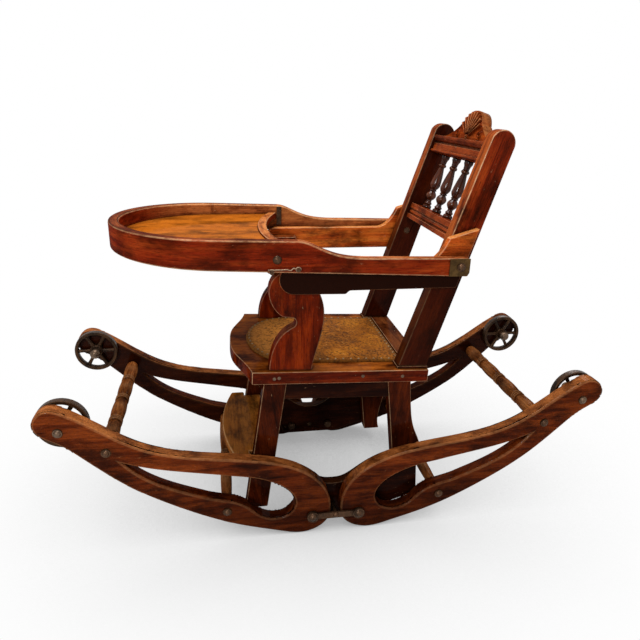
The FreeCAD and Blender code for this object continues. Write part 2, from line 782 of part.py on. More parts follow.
ARM_FRONT = (-63.5, 380.0)
ARM_STEPS = [
    [(8.0, 378.5)], [(13.0, 383.5)], [(167.7, 383.5)], [(194.0, 467.8)], [(151.5, 455.0)],
    [(145.0, 442.0), (133.5, 428.0), (111.0, 421.0)], [(-63.5, 421.0)], [(-84.5, 401.0), ARM_FRONT],
]
SUPPORT_FOOT = (-98.0, seat_at(-98.0))
SUPPORT_STEPS = [
    [(-94.5, 287.0), (-82.5, 313.0), (-63.0, 328.5)], [(-59.5, 335.5), (-63.5, 342.0)], [(-78.5, 344.0)],
    [(-91.5, 358.0), (-97.6, 383.0), (-79.0, 409.0)], [(-32.0, 409.0)], [(-26.0, 376.0)],
    [(-19.5, 338.0), (-26.0, 303.0), (-36.2, seat_at(-36.2))], [SUPPORT_FOOT],
]


def arm(side_name):
    """The fixed arm: a thin board with a round nose and an ear that laps the upright."""
    body = board("Arm", "XZ_Plane", ARM_FRONT, ARM_STEPS, "arm_thick")
    drill(body, [(size("tray_pivot_reach"), size("tray_pivot_height"))])
    shift(body, y=f"{SIDES[side_name]} * ( upright_inner + upright_thick + arm_thick / 2 )")
    return finish(body, f"arm_{side_name}")


def arm_support(side_name):
    """The scrolled board under an arm, which is fixed to its outer face."""
    body = board("Support", "XZ_Plane", SUPPORT_FOOT, SUPPORT_STEPS, "support_thick")
    shift(body, y=f"{SIDES[side_name]} * ( support_inner + support_thick / 2 )")
    return finish(body, f"arm_support_{side_name}")


for side_name in SIDES:
    arm(side_name)
    arm_support(side_name)

# Tray

# The tray's side edges: the rim slopes down a little to the rear, dips, and runs on as an arm.
TRAY_EDGE_START = (-340.0, 464.8)
TRAY_DIP_START = (-60.0, 457.6)
TRAY_DIP = [(-49.5, 455.4), (-33.7, 448.4), (-15.0, 440.6), (8.0, 435.2), (36.0, 433.2), (62.0, 432.8)]
TRAY_ARM_END = (190.0, 430.2)
TRAY_UNDERSIDE = [(-340.0, 427.0), (190.0, 403.5)]
BOARD_SIDE_END = -63.0
BOARD_HOLLOW = -89.5
EDGE_WIDTH = 13.5


def tray_rim():
    """The rim and arms of the tray, one bent strip whose arms dip and run back to the pivots."""
    half = size("tray_half")
    inner = half - size("tray_wall")
    centre = -size("tray_centre")
    tail = size("tray_tail")
    steps = [[(centre, -half)], [(centre - half, 0.0), (centre, half)], [(tail, half)], [(tail, inner)],
             [(centre, inner)], [(centre - inner, 0.0), (centre, -inner)], [(tail, -inner)], [(tail, -half)]]
    body = board("Rim", "XY_Plane", (tail, -half), steps, "tray_height", "One side")
    low = size("tray_bottom")
    over = 2 * size("tray_height")

    def lowered(points):
        return [(x, z - low) for x, z in points]

    edge = lowered([TRAY_EDGE_START])[0]
    arm_end = lowered([TRAY_ARM_END])[0]
    pierce(body, "XZ_Plane", edge, [lowered([TRAY_DIP_START]), lowered(TRAY_DIP), [arm_end],
                                    [(arm_end[0], over)], [(edge[0], over)], [edge]])
    front, rear = lowered(TRAY_UNDERSIDE)
    pierce(body, "XZ_Plane", front, [[rear], [(rear[0], -over)], [(front[0], -over)], [front]])
    drill(body, [(size("tray_pivot_reach"), size("tray_pivot_height") - low)])
    shift(body, z="tray_bottom")
    return finish(body, "tray_rim")


def tray_board():
    """The table of the tray, hollowed at the back for the child."""
    edge = size("tray_half") - size("tray_wall")
    centre = -size("tray_centre")
    rear = BOARD_SIDE_END - EDGE_WIDTH
    steps = [[(centre, -edge)], [(centre - edge, 0.0), (centre, edge)], [(rear, edge)],
             [(BOARD_HOLLOW - EDGE_WIDTH, 0.0), (rear, -edge)]]
    body = board("Table", "XY_Plane", (rear, -edge), steps, "board_thick", "One side")
    shift(body, z="board_top - board_thick")
    return finish(body, "tray_board")


def tray_edge_strip():
    """The lipping along the hollowed back edge, standing a little above the table."""
    edge = size("tray_half") - size("tray_wall")
    front = BOARD_SIDE_END - EDGE_WIDTH
    steps = [[(front, -edge)], [(BOARD_HOLLOW - EDGE_WIDTH, 0.0), (front, edge)], [(BOARD_SIDE_END, edge)],
             [(BOARD_HOLLOW, 0.0), (BOARD_SIDE_END, -edge)]]
    body = board("Lipping", "XY_Plane", (BOARD_SIDE_END, -edge), steps, "board_thick + edge_thick", "One side")
    shift(body, z="board_top - board_thick")
    return finish(body, "tray_edge_strip")


PLATE_CORNERS = [(148.0, 405.8), (148.0, 430.2), (177.0, 430.2), (177.0, 411.8)]
PLATE_ROUND = [(175.2, 407.6), (171.0, 405.8)]


def end_plates():
    """Brass plates over the tail ends of the tray arms."""
    pieces = []
    for side in SIDES.values():
        steps = [*[[corner] for corner in PLATE_CORNERS[1:]], PLATE_ROUND, [PLATE_CORNERS[0]]]
        plate = board("Plate", "XZ_Plane", PLATE_CORNERS[0], steps, "plate_thick")
        drill(plate, [(size("tray_pivot_reach"), size("tray_pivot_height"))])
        shift(plate, y=f"{side} * ( tray_half + plate_thick / 2 )")
        pieces.append(plate)
    return group("tray_end_plates", pieces)


def tray_pivot_bolts():
    """Bolts that the tray swings on, through plate, tray arm, fixed arm and upright."""
    pieces = []
    outer = size("tray_half") + size("plate_thick")
    for side in SIDES.values():
        stem = small_bolt(outer - size("upright_inner"))
        piece = point_outwards(stem, side)
        shift(piece, "tray_pivot_reach", f"{side} * ( tray_half + plate_thick )", "tray_pivot_height")
        pieces.append(piece)
    return group("tray_pivot_bolts", pieces)


STUD_PLACE = (-88.5, 433.4)
INNER_STRAP = {"x": "-62", "z": "424", "Length": "8", "Height": "31"}


def tray_irons():
    """Domed studs outside the rim, and the flat irons that they clench inside it."""
    studs = []
    irons = []
    for side in SIDES.values():
        radius = size("stud_radius")
        rise = size("stud_height")
        steps = [[(radius, 0.0)], dome(radius, 0.0, rise), [(0.0, 0.0)]]
        stud = point_outwards(turned("Stud", (0.0, 0.0), steps), side)
        shift(stud, str(STUD_PLACE[0]), f"{side} * tray_half", str(STUD_PLACE[1]))
        studs.append(stud)
        iron = doc.addObject("Part::Box", "Iron")
        bind(iron, Length=INNER_STRAP["Length"], Width="plate_thick", Height=INNER_STRAP["Height"])
        inner = "tray_half - tray_wall - plate_thick" if side > 0 else "tray_wall - tray_half"
        shift(iron, INNER_STRAP["x"], inner, INNER_STRAP["z"])
        irons.append(iron)
    group("tray_studs", studs)
    group("tray_inner_irons", irons)


def pin(radius, length, head, head_thick):
    steps = [[(radius, 0.0)], [(radius, length)], [(head, length)], [(head, length + head_thick)],
             [(0.0, length + head_thick)], [(0.0, 0.0)]]
    return turned("Pin", (0.0, 0.0), steps)


def hook(side_name):
    """A wire hook that turns on a pin in the tray's side and lies on a second pin."""
    side = SIDES[side_name]
    ring = doc.addObject("Part::Torus", "Ring")
    bind(ring, Radius1="hook_ring", Radius2="wire_radius")
    point_outwards(ring, side)
    shank = doc.addObject("Part::Cylinder", "Shank")
    bind(shank, Radius="wire_radius", Height="hook_length - hook_ring")
    tilt = FreeCAD.Rotation(FreeCAD.Vector(0, 1, 0), -QUARTER_TURN)
    shank.Placement = FreeCAD.Placement(FreeCAD.Vector(), tilt)
    shift(shank, "- hook_ring")
    wire = doc.addObject("Part::Fuse", "Hook")
    wire.Base = ring
    wire.Tool = shank
    shift(wire, "- hook_reach", f"{side} * ( tray_half + hook_offset )", "hook_height")
    return finish(wire, f"tray_hook_{side_name}")


def hook_pins():
    """The pins that carry the hooks: one at the ring, one under the free end."""
    pieces = []
    radius = size("hook_pin_radius")
    rest = size("hook_height") - size("wire_radius") - size("hook_gap") - radius
    spots = [(-size("hook_reach"), size("hook_height")),
             (-size("hook_reach") - size("hook_length") * 0.85, rest)]
    for side in SIDES.values():
        for x, z in spots:
            piece = point_outwards(pin(radius, size("hook_pin_length"), radius * 2, radius), side)
            shift(piece, str(x), f"{side} * tray_half", str(z))
            pieces.append(piece)
    return group("tray_hook_pins", pieces)


tray_rim()
tray_board()
tray_edge_strip()
end_plates()
tray_pivot_bolts()
tray_irons()
for side_name in SIDES:
    hook(side_name)
hook_pins()

# Check every object, then write one file for each piece
doc.recompute()
faults = [thing.Label for thing in doc.Objects if {"Invalid", "Error"} & set(thing.State)]
faults += [piece.Label for piece in finished if piece.Shape.isNull() or not piece.Shape.isValid()]
if faults:
    raise RuntimeError("failed pieces: " + ", ".join(faults))
for piece in finished:
    piece.Shape.exportStep(f"parts/{piece.Label}.step")
print(len(finished), "pieces,", sum(len(piece.Shape.Solids) for piece in finished), "solids")
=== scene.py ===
# %% [markdown]
# A child's high chair that folds down into a rocker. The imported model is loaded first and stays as
# it is. Every piece made below is in metres, in the same frame, and rides on one of the model's
# bodies, so that it moves when the frames fold, the wheels turn or the tray swings.

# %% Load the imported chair
import json
import math

import bmesh
import bpy
import numpy as np
from mathutils import Matrix


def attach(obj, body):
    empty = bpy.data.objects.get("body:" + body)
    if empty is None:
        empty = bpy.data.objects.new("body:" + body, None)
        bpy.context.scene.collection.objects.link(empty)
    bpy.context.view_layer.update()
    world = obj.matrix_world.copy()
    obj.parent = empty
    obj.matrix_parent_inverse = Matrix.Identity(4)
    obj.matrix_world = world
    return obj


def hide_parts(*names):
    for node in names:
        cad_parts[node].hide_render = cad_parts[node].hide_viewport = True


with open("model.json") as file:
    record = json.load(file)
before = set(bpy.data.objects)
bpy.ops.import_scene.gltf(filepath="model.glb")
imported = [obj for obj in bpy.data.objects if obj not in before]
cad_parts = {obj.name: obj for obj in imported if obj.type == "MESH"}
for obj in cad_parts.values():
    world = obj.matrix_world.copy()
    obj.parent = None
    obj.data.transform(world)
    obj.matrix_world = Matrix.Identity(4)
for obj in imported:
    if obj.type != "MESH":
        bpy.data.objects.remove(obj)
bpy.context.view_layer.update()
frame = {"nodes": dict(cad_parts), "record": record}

BODIES = frame["record"]["behaviour"]["bodies"]
BODY_OF = {node: body for body, nodes in BODIES.items() for node in nodes}
SIDES = {"left": -1, "right": 1}
ENDS = {"front": -1, "rear": 1}
LENGTHWAYS = (1.0, 0.0, 0.0)
CROSSWAYS = (0.0, 1.0, 0.0)
UPWARDS = (0.0, 0.0, 1.0)

# %% [markdown]
# The picture was taken from the child's left, a little above the tray. The camera's place and lens
# were worked out from the wheels, bolts and seat corners, so the chair fills the frame as it does
# there. Right, up and back are the camera's own three directions.

# %% Camera
PICTURE_WIDTH = 640
FOCAL_PIXELS = 586.78
SENSOR = 36.0
CAMERA_PLACE = (-0.16091, -0.88712, 0.62533)
CAMERA_RIGHT = (0.98595, -0.16544, 0.02303)
CAMERA_UP = (0.03605, 0.34538, 0.93777)
CAMERA_BACK = (-0.16310, -0.92377, 0.34649)


def show(thing):
    """Link an object into the scene."""
    bpy.context.scene.collection.objects.link(thing)


camera = bpy.data.objects.new("camera", bpy.data.cameras.new("camera"))
camera.data.sensor_width = SENSOR
camera.data.lens = FOCAL_PIXELS * SENSOR / PICTURE_WIDTH
axes = Matrix((CAMERA_RIGHT, CAMERA_UP, CAMERA_BACK)).transposed().to_4x4()
camera.matrix_world = Matrix.Translation(CAMERA_PLACE) @ axes
show(camera)
bpy.context.scene.camera = camera
bpy.context.scene.view_settings.view_transform = "Standard"
print("lens", round(camera.data.lens, 2))

# %% [markdown]
# The photograph is a cut-out on white. A white world would do that alone, but it also washes out
# dark varnish, so the world is white only where the camera or a reflection sees it, and dimmer
# where it lights the wood.

# %% World
AMBIENT = 0.40
WHITE = (1.0, 1.0, 1.0, 1.0)

world = bpy.data.worlds.new("studio")
bpy.context.scene.world = world
world.use_nodes = True
sky = world.node_tree
path = sky.nodes.new("ShaderNodeLightPath")
seen = path.outputs["Is Camera Ray"]
for kind in ("Is Glossy Ray", "Is Transmission Ray"):
    either = sky.nodes.new("ShaderNodeMath")
    either.operation = "MAXIMUM"
    sky.links.new(seen, either.inputs[0])
    sky.links.new(path.outputs[kind], either.inputs[1])
    seen = either.outputs[0]
level = sky.nodes.new("ShaderNodeMapRange")
level.inputs["To Min"].default_value = AMBIENT
level.inputs["To Max"].default_value = 1.0
sky.links.new(seen, level.inputs["Value"])
background = sky.nodes["Background"]
background.inputs["Color"].default_value = WHITE
sky.links.new(level.outputs["Result"], background.inputs["Strength"])
print("light from the world", AMBIENT)

# %% [markdown]
# One broad lamp hangs over the chair, because the tops of the boards are the brightest part of the
# picture. A smaller one fills the side that faces the camera, and a weak one stands behind. A lamp
# shines along its own minus Z, so each is turned until that direction meets its target.

# %% Lamps
LAMPS = {
    "top_lamp": {"place": (-0.25, 0.00, 1.75), "target": (0.02, -0.05, 0.30),
                 "width": 0.9, "watts": 24.0},
    "side_lamp": {"place": (-0.90, -1.60, 1.15), "target": (0.0, 0.0, 0.30),
                  "width": 0.38, "watts": 15.0},
    "back_lamp": {"place": (0.90, 1.10, 1.20), "target": (0.0, 0.0, 0.35),
                  "width": 0.6, "watts": 8.0},
}


def unit(vector):
    """The same direction with a length of one."""
    vector = np.asarray(vector, dtype=float)
    return vector / np.linalg.norm(vector)


for lamp_name, facts in LAMPS.items():
    lamp = bpy.data.objects.new(lamp_name, bpy.data.lights.new(lamp_name, "AREA"))
    lamp.data.shape = "DISK"
    lamp.data.size = facts["width"]
    lamp.data.energy = facts["watts"]
    lamp.location = facts["place"]
    forward = unit(np.subtract(facts["target"], facts["place"]))
    sideways = unit(np.cross(forward, UPWARDS))
    upward = np.cross(sideways, forward)
    lamp.rotation_euler = Matrix((sideways, upward, -forward)).transposed().to_euler()
    show(lamp)
print("lamps", len(LAMPS))

# %% [markdown]
# Numbers go in and out of a mesh as whole arrays, which is far quicker than one corner at a time.
# A piece can also keep numbers of its own with each corner or face, and a finish can read them
# later.

# %% Numbers in and out of a mesh
def read(items, name, width=1, kind=np.float32):
    """One number, or a row of them, for each of a mesh's corners, faces or loops."""
    flat = np.empty(len(items) * width, dtype=kind)
    items.foreach_get(name, flat)
    return flat if width == 1 else flat.reshape(-1, width)


def store(mesh, name, numbers, where="POINT"):
    """Keep one number, or three, with each corner or face."""
    numbers = np.asarray(numbers, dtype=np.float32)
    three = numbers.ndim > 1
    kept = mesh.attributes.new(name, "FLOAT_VECTOR" if three else "FLOAT", where)
    kept.data.foreach_set("vector" if three else "value", numbers.ravel())


def smooth(mesh, sharp=None):
    """Shade every face smoothly, but not across edges sharper than an angle."""
    if sharp is not None:
        mesh.set_sharp_from_angle(angle=sharp)
    mesh.polygons.foreach_set("use_smooth", np.ones(len(mesh.polygons), dtype=bool))


print("helpers", read.__name__, store.__name__, smooth.__name__)

# %% [markdown]
# Surfaces come as arrays of points. A grid of points becomes quads by joining each point to its
# neighbours, and shells made that way are put together into one mesh. Merging afterwards closes
# the poles, where a whole row of points falls on one place.

# %% Grids of points into meshes
MERGE = 1e-6


def grid_shell(points, wrap_rows=False, wrap_columns=True):
    """Quads over a grid: (i, j) joins (i+1, j), (i+1, j+1), (i, j+1), round again if it wraps."""
    rows, columns = points.shape[:2]
    i, j = np.meshgrid(np.arange(rows if wrap_rows else rows - 1),
                       np.arange(columns if wrap_columns else columns - 1), indexing="ij")
    below = (i + 1) % rows
    beside = (j + 1) % columns
    faces = np.stack([i * columns + j, below * columns + j,
                      below * columns + beside, i * columns + beside], -1)
    return points.reshape(-1, 3), faces.reshape(-1, 4)


def joined(shells):
    """Several shells as one: the second shell's corner numbers start where the first one's end."""
    starts = np.cumsum([0] + [len(points) for points, _ in shells[:-1]])
    return (np.concatenate([points for points, _ in shells]),
            np.concatenate([faces + start for (_, faces), start in zip(shells, starts)]))


def mesh_of(name, points, faces, worn=None):
    """A mesh with its doubles merged and its faces turned outwards."""
    mesh = bpy.data.meshes.new(name)
    mesh.from_pydata(points, [], faces.tolist())
    if worn is not None:
        store(mesh, "worn", np.ravel(worn))
    work = bmesh.new()
    work.from_mesh(mesh)
    bmesh.ops.remove_doubles(work, verts=work.verts, dist=MERGE)
    bmesh.ops.recalc_face_normals(work, faces=work.faces)
    work.to_mesh(mesh)
    work.free()
    return mesh


print("merging within", MERGE, "m")

# %% [markdown]
# Wood needs to know which way its grain runs. Each piece stores, at every corner, how far that
# corner lies along the grain, across it and into the board, in metres. The finish reads those
# three numbers instead of the plain place, so the figure runs up the leaning posts, round the bent
# rim and along the rockers. A shift that grows from piece to piece keeps neighbours from sharing a
# pattern.

# %% Grain and settling of a piece
GRAIN_SHIFT = np.array((0.37, 0.23, 0.11))
NEARLY_ALONG = 0.8
pieces_made = 0


def straight_grain(along):
    """Place measured along one direction and along two directions square to it."""
    along = unit(along)
    helper = CROSSWAYS if abs(along[1]) < NEARLY_ALONG else UPWARDS
    across = unit(np.cross(helper, along))
    square = np.stack([along, across, np.cross(along, across)], axis=1)
    return lambda points: points @ square


def settle(name, mesh, finish, body, grain=None, stands_for=()):
    """Put a finished mesh in the scene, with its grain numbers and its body."""
    global pieces_made
    pieces_made += 1
    if grain is not None:
        store(mesh, "grain", grain(read(mesh.vertices, "co", 3)) + GRAIN_SHIFT * pieces_made)
    mesh.materials.clear()
    mesh.materials.append(finish)
    piece = bpy.data.objects.new(name, mesh)
    show(piece)
    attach(piece, body)
    if stands_for:
        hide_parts(*stands_for)
    return piece


print("bodies to ride on", sorted(BODIES))

# %% [markdown]
# A finish is a small network of nodes that ends in one shader. This class keeps the wiring short:
# a node is added with its settings, and each of its sockets takes either a number or another
# node's output. Values that are the same all over stay on the shader's own sockets.

# %% A kit for finishes
class Finish:
    """One material's nodes, added a few at a time."""

    def __init__(self, name, **constants):
        self.material = bpy.data.materials.new(name)
        self.material.use_nodes = True
        self.tree = self.material.node_tree
        self.surface = self.tree.nodes["Principled BSDF"]
        self.done(**constants)

    def feed(self, socket, value):
        """Link another node's output to a socket, or set the socket's own value."""
        if isinstance(value, bpy.types.NodeSocket):
            self.tree.links.new(value, socket)
        else:
            socket.default_value = value

    def add(self, kind, feeds, **settings):
        """A new node with its settings, and its sockets fed by name or number."""
        made = self.tree.nodes.new("ShaderNode" + kind)
        for key, value in settings.items():
            setattr(made, key, value)
        for socket, value in feeds.items():
            self.feed(made.inputs[socket], value)
        return made

    def stored(self, attribute, output="Fac"):
        """Numbers that a mesh keeps with its corners or faces."""
        return self.add("Attribute", {}, attribute_name=attribute).outputs[output]

    def place(self):
        """Where a point lies on its object, in metres."""
        return self.add("TexCoord", {}).outputs["Object"]

    def along_axis(self, axis):
        """One of the three numbers of that place."""
        return self.add("SeparateXYZ", {0: self.place()}).outputs[axis]

    def rise(self, value, start, end, height):
        """0 at the start, a set height at the end, and an S-shaped rise between them."""
        feeds = {"Value": value, "From Min": start, "From Max": end, "To Max": height}
        return self.add("MapRange", feeds, interpolation_type="SMOOTHSTEP").outputs["Result"]

    def noise(self, where, stretch, detail=3.0, rough=0.55, twist=0.0):
        """Cloudy noise whose size on each axis is one over the stretch, in metres."""
        scaled = self.add("Mapping", {"Vector": where, "Scale": stretch}).outputs[0]
        feeds = {"Vector": scaled, "Scale": 1.0, "Detail": detail, "Roughness": rough,
                 "Distortion": twist}
        return self.add("TexNoise", feeds).outputs[0]

    def ramp(self, value, stops):
        """Colours or greys at set values, blended between them."""
        made = self.add("ValToRGB", {"Fac": value})
        marks = made.color_ramp.elements
        while len(marks) < len(stops):
            marks.new(1.0)
        for mark, (position, colour) in zip(marks, stops):
            mark.position = position
            mark.color = tone(*colour) if isinstance(colour, tuple) else tone(*[colour] * 3)
        return made.outputs[0]

    def mix(self, amount, first, second):
        """First colour x (1 - amount) + second colour x amount."""
        return self.add("Mix", {0: amount, 6: first, 7: second}, data_type="RGBA").outputs[2]

    def maths(self, operation, first, second):
        """Two numbers multiplied, raised to a power, or the larger of them."""
        return self.add("Math", {0: first, 1: second}, operation=operation).outputs[0]

    def open_sky(self, reach, samples):
        """1 in the open, falling to 0 where other surfaces stand close all round."""
        return self.add("AmbientOcclusion", {"Distance": reach}, samples=samples).outputs["AO"]

    def bump(self, height, depth, under=None):
        """Tilt the normal as if the surface rose by height x depth, over any bumps under it."""
        feeds = {"Height": height, "Strength": 1.0, "Distance": depth}
        if under is not None:
            feeds["Normal"] = under
        return self.add("Bump", feeds).outputs[0]

    def done(self, **wired):
        """Feed the shader's own sockets, written with underscores for spaces."""
        for socket, value in wired.items():
            self.feed(self.surface.inputs[socket.replace("_", " ")], value)
        return self.material


def tone(*colour):
    """A colour with full opacity, as a colour socket wants it."""
    return (*colour, 1.0)


print("kit for finishes ready")

# %% [markdown]
# The chair is stained and varnished hardwood, a dark red-brown that has worn to orange where hands
# and feet rub it. One broad noise, drawn out along the grain, gives the streaks; a finer one gives
# the lines; dark dashes are the pores; slow patches are old dirt in the varnish. Each board keeps
# three numbers of its own. The first is worn, along its rounded arrises, which are painted pale:
# partly stain worn through to paler wood, partly a painted highlight. The second is a mark on faces
# turned to the light, which turn golden: partly from wear, partly as painted light. The third is
# inner, on faces that look inwards, which are darkened. Corners and grooves darken by how little of
# the sky they see, as dirt and painted shade.

# %% Varnished wood
LINE_SIZE = (16.0, 620.0, 620.0)
PORE_SIZE = (110.0, 2400.0, 2400.0)
PATCH_SIZE = (14.0, 26.0, 26.0)
SCUFF_SIZE = (90.0, 210.0, 210.0)
STREAK_LENGTH = 8
STREAK_STOPS = (0.26, 0.46, 0.72)
LIT_AND_WORN_PATCHES = [(0.32, 0.25), (0.56, 0.95)]
STREAKS_IN_GOLD = [(0.30, 0.7), (0.58, 0.0)]
DARK_LINES = [(0.36, 0.35), (0.60, 0.0)]
DARK_PORES = [(0.30, 0.7), (0.40, 0.0)]
PALE_SCUFFS = [(0.66, 0.0), (0.78, 0.5)]
UNEVEN_WEAR_AND_GLINT = [(0.34, 0.25), (0.58, 1.0)]
SUNK_PORES = [(0.30, 0.0), (0.40, 1.0)]
DIRTY_PATCHES = (0.36, 0.54)
CORNER_DIRT_AND_SHADE = (0.40, 0.90)
SHEEN_PATCHES = (0.30, 0.60)
EDGE_SHARPNESS = 3.0
DULL_PATCHES = 0.22
LINE_DEPTH = 0.00012
PORE_DEPTH = 0.00015
COAT_ROUGHNESS = 0.09
VARNISH_IOR = 1.45
CORNER_SAMPLES = 8
BARE = (0.62, 0.360, 0.190)


def varnish(name, dark, middle, light, golden, bare=BARE, gloss=0.30, wear_and_glint=0.75, coat=0.05,
            figure=70.0, shade_below=None, grooves=0.55, corner=0.007, blotch=0.80, ripple=0.0012,
            inner_darkening=0.86):
    """Streaks, gold tops (wear and painted light), lines, dirt, pores, scuffs, pale arrises (wear
    and painted highlight), darkened corners and inward faces, and painted shade low down.
    """
    wood = Finish(name, Specular_IOR_Level=0.0, Coat_Weight=coat, Coat_Roughness=COAT_ROUGHNESS,
                  IOR=VARNISH_IOR)
    black = tone(*dark)
    grain = wood.stored("grain", "Vector")
    streak_size = (figure / STREAK_LENGTH, figure, figure)
    streaks = wood.noise(grain, streak_size, detail=5.0, rough=0.62, twist=0.4)
    lines = wood.noise(grain, LINE_SIZE, detail=3.0, rough=0.6)
    pores = wood.noise(grain, PORE_SIZE, detail=1.0)
    patches = wood.noise(grain, PATCH_SIZE, detail=5.0, rough=0.65)
    scuffs = wood.noise(grain, SCUFF_SIZE, detail=4.0, rough=0.7)
    colour = wood.ramp(streaks, list(zip(STREAK_STOPS, (dark, middle, light))))
    # Faces turned to the light turn golden: partly wear, partly painted light on the lit tops.
    lit_and_worn_tops = wood.maths("MULTIPLY", wood.stored("lit_and_worn"), wood.ramp(patches, LIT_AND_WORN_PATCHES))
    gold = wood.mix(wood.ramp(streaks, STREAKS_IN_GOLD), tone(*golden), colour)
    colour = wood.mix(lit_and_worn_tops, colour, gold)
    colour = wood.mix(wood.ramp(lines, DARK_LINES), colour, black)
    old_dirt = wood.ramp(patches, list(zip(DIRTY_PATCHES, (blotch, 0.0))))
    colour = wood.mix(old_dirt, colour, black)
    colour = wood.mix(wood.ramp(pores, DARK_PORES), colour, black)
    colour = wood.mix(wood.ramp(scuffs, PALE_SCUFFS), colour, tone(*bare))
    # Pale arrises: stain worn through to paler wood, and also a painted highlight along each edge.
    edge = wood.maths("POWER", wood.stored("worn"), EDGE_SHARPNESS)
    edge = wood.maths("MULTIPLY", edge, wood.ramp(scuffs, UNEVEN_WEAR_AND_GLINT))
    colour = wood.mix(wood.maths("MULTIPLY", edge, wear_and_glint), colour, tone(*bare))
    # Corners and grooves go dark by how little sky they see: dirt and painted shade.
    open_sky = wood.open_sky(corner, CORNER_SAMPLES)
    corner_dirt_and_shade = wood.ramp(open_sky, list(zip(CORNER_DIRT_AND_SHADE, (grooves, 0.0))))
    colour = wood.mix(corner_dirt_and_shade, colour, black)
    # Faces that look inwards are darkened, and wood below a set height gets painted shade.
    low_and_inner_dark = wood.maths("MULTIPLY", wood.stored("inner"), inner_darkening)
    if shade_below:
        low, high, depth, mixing = shade_below
        low_and_inner_dark = wood.maths(mixing, low_and_inner_dark, wood.rise(wood.along_axis("Z"), high, low, depth))
    colour = wood.mix(low_and_inner_dark, colour, black)
    sheen = wood.ramp(patches, list(zip(SHEEN_PATCHES, (gloss + DULL_PATCHES, gloss))))
    height = wood.bump(lines, LINE_DEPTH)
    height = wood.bump(wood.ramp(pores, SUNK_PORES), PORE_DEPTH, height)
    height = wood.bump(patches, ripple, height)
    return wood.done(Base_Color=colour, Roughness=sheen, Normal=height)


print("colour of bare wood", BARE)

# %% [markdown]
# The boards were stained alike but have aged apart. The legs are nearly black, partly from a darker
# stain and partly as painted shade, and the wood under the seat is painted nearly black as shade.
# The arms and the tray are worn to orange, and the turned pieces keep their gloss. Painted shade
# below a height is given as two heights, an amount and a way of mixing. On the back and the rockers
# the larger of that shade and the darkening of inward faces counts, so the wood darkens downwards
# all over. On the arms the two are multiplied, so the painted shade stays low on their outer faces,
# under the tray's arms.

# %% The woods
frame_wood = varnish(
    "seat_hardwood", dark=(0.012, 0.0022, 0.0008), middle=(0.095, 0.0080, 0.0016),
    light=(0.250, 0.0320, 0.0046), golden=(0.400, 0.1100, 0.0120), wear_and_glint=0.60)
# The back gets painted shade low down, below the arms.
back_wood = varnish(
    "back_hardwood", dark=(0.013, 0.0028, 0.0010), middle=(0.200, 0.0180, 0.0032),
    light=(0.420, 0.0600, 0.0086), golden=(0.350, 0.0800, 0.0140),
    shade_below=(0.40, 0.47, 0.86, "MAXIMUM"), blotch=0.90, figure=60.0)
rail_wood = varnish(
    "rail_hardwood", dark=(0.013, 0.0026, 0.0010), middle=(0.130, 0.0140, 0.0030),
    light=(0.330, 0.0560, 0.0090), golden=(0.250, 0.0440, 0.0080), grooves=0.95, corner=0.009)
crest_wood = varnish(
    "crest_hardwood", dark=(0.012, 0.0022, 0.0008), middle=(0.170, 0.0210, 0.0030),
    light=(0.400, 0.0740, 0.0100), golden=(0.240, 0.0720, 0.0170), bare=(0.50, 0.200, 0.075),
    coat=0.015, wear_and_glint=0.60, grooves=1.0, corner=0.005)
# The arms get painted shade on their low outer faces, under the tray's arms.
arm_wood = varnish(
    "arm_hardwood", dark=(0.013, 0.0028, 0.0010), middle=(0.520, 0.0840, 0.0100),
    light=(0.840, 0.2400, 0.0330), golden=(0.600, 0.2300, 0.0600),
    shade_below=(0.408, 0.434, 1.0, "MULTIPLY"), wear_and_glint=0.45, blotch=0.92, figure=45.0, inner_darkening=1.0)
scroll_wood = varnish(
    "scroll_hardwood", dark=(0.013, 0.0022, 0.0008), middle=(0.145, 0.0118, 0.0013),
    light=(0.290, 0.0330, 0.0034), golden=(0.200, 0.0500, 0.0090), wear_and_glint=0.28, figure=80.0)
# The legs are a darker stain, and are also darkened as painted shade under the seat.
dark_and_shaded_leg_wood = varnish(
    "dark_and_shaded_leg_hardwood", dark=(0.009, 0.0018, 0.0007), middle=(0.048, 0.0066, 0.0013),
    light=(0.110, 0.0170, 0.0028), golden=(0.130, 0.0360, 0.0090), wear_and_glint=0.40, figure=90.0)
# The wood under the seat is painted nearly black as shade.
shaded_under_wood = varnish(
    "shaded_under_hardwood", dark=(0.005, 0.0012, 0.0006), middle=(0.016, 0.0028, 0.0009),
    light=(0.045, 0.0090, 0.0022), golden=(0.040, 0.0120, 0.0030), wear_and_glint=0.10)
# The rockers get painted shade towards their bottoms.
rocker_wood = varnish(
    "rocker_hardwood", dark=(0.010, 0.0020, 0.0007), middle=(0.110, 0.0165, 0.0024),
    light=(0.265, 0.0500, 0.0076), golden=(0.400, 0.1300, 0.0320), bare=(0.44, 0.190, 0.075),
    wear_and_glint=0.32, coat=0.06, figure=95.0, shade_below=(0.020, 0.140, 0.60, "MAXIMUM"))
turned_wood = varnish(
    "turned_hardwood", dark=(0.008, 0.0020, 0.0008), middle=(0.044, 0.0080, 0.0020),
    light=(0.105, 0.0220, 0.0050), golden=(0.220, 0.0700, 0.0200), bare=(0.24, 0.085, 0.030),
    gloss=0.20, wear_and_glint=0.30, coat=0.45, figure=160.0, grooves=0.95, corner=0.005, ripple=0.0003)
bar_wood = varnish(
    "stretcher_hardwood", dark=(0.014, 0.0040, 0.0012), middle=(0.180, 0.0500, 0.0110),
    light=(0.350, 0.1250, 0.0330), golden=(0.220, 0.0700, 0.0200), bare=(0.44, 0.210, 0.090),
    gloss=0.24, coat=0.03, figure=130.0, grooves=0.95, ripple=0.0004)
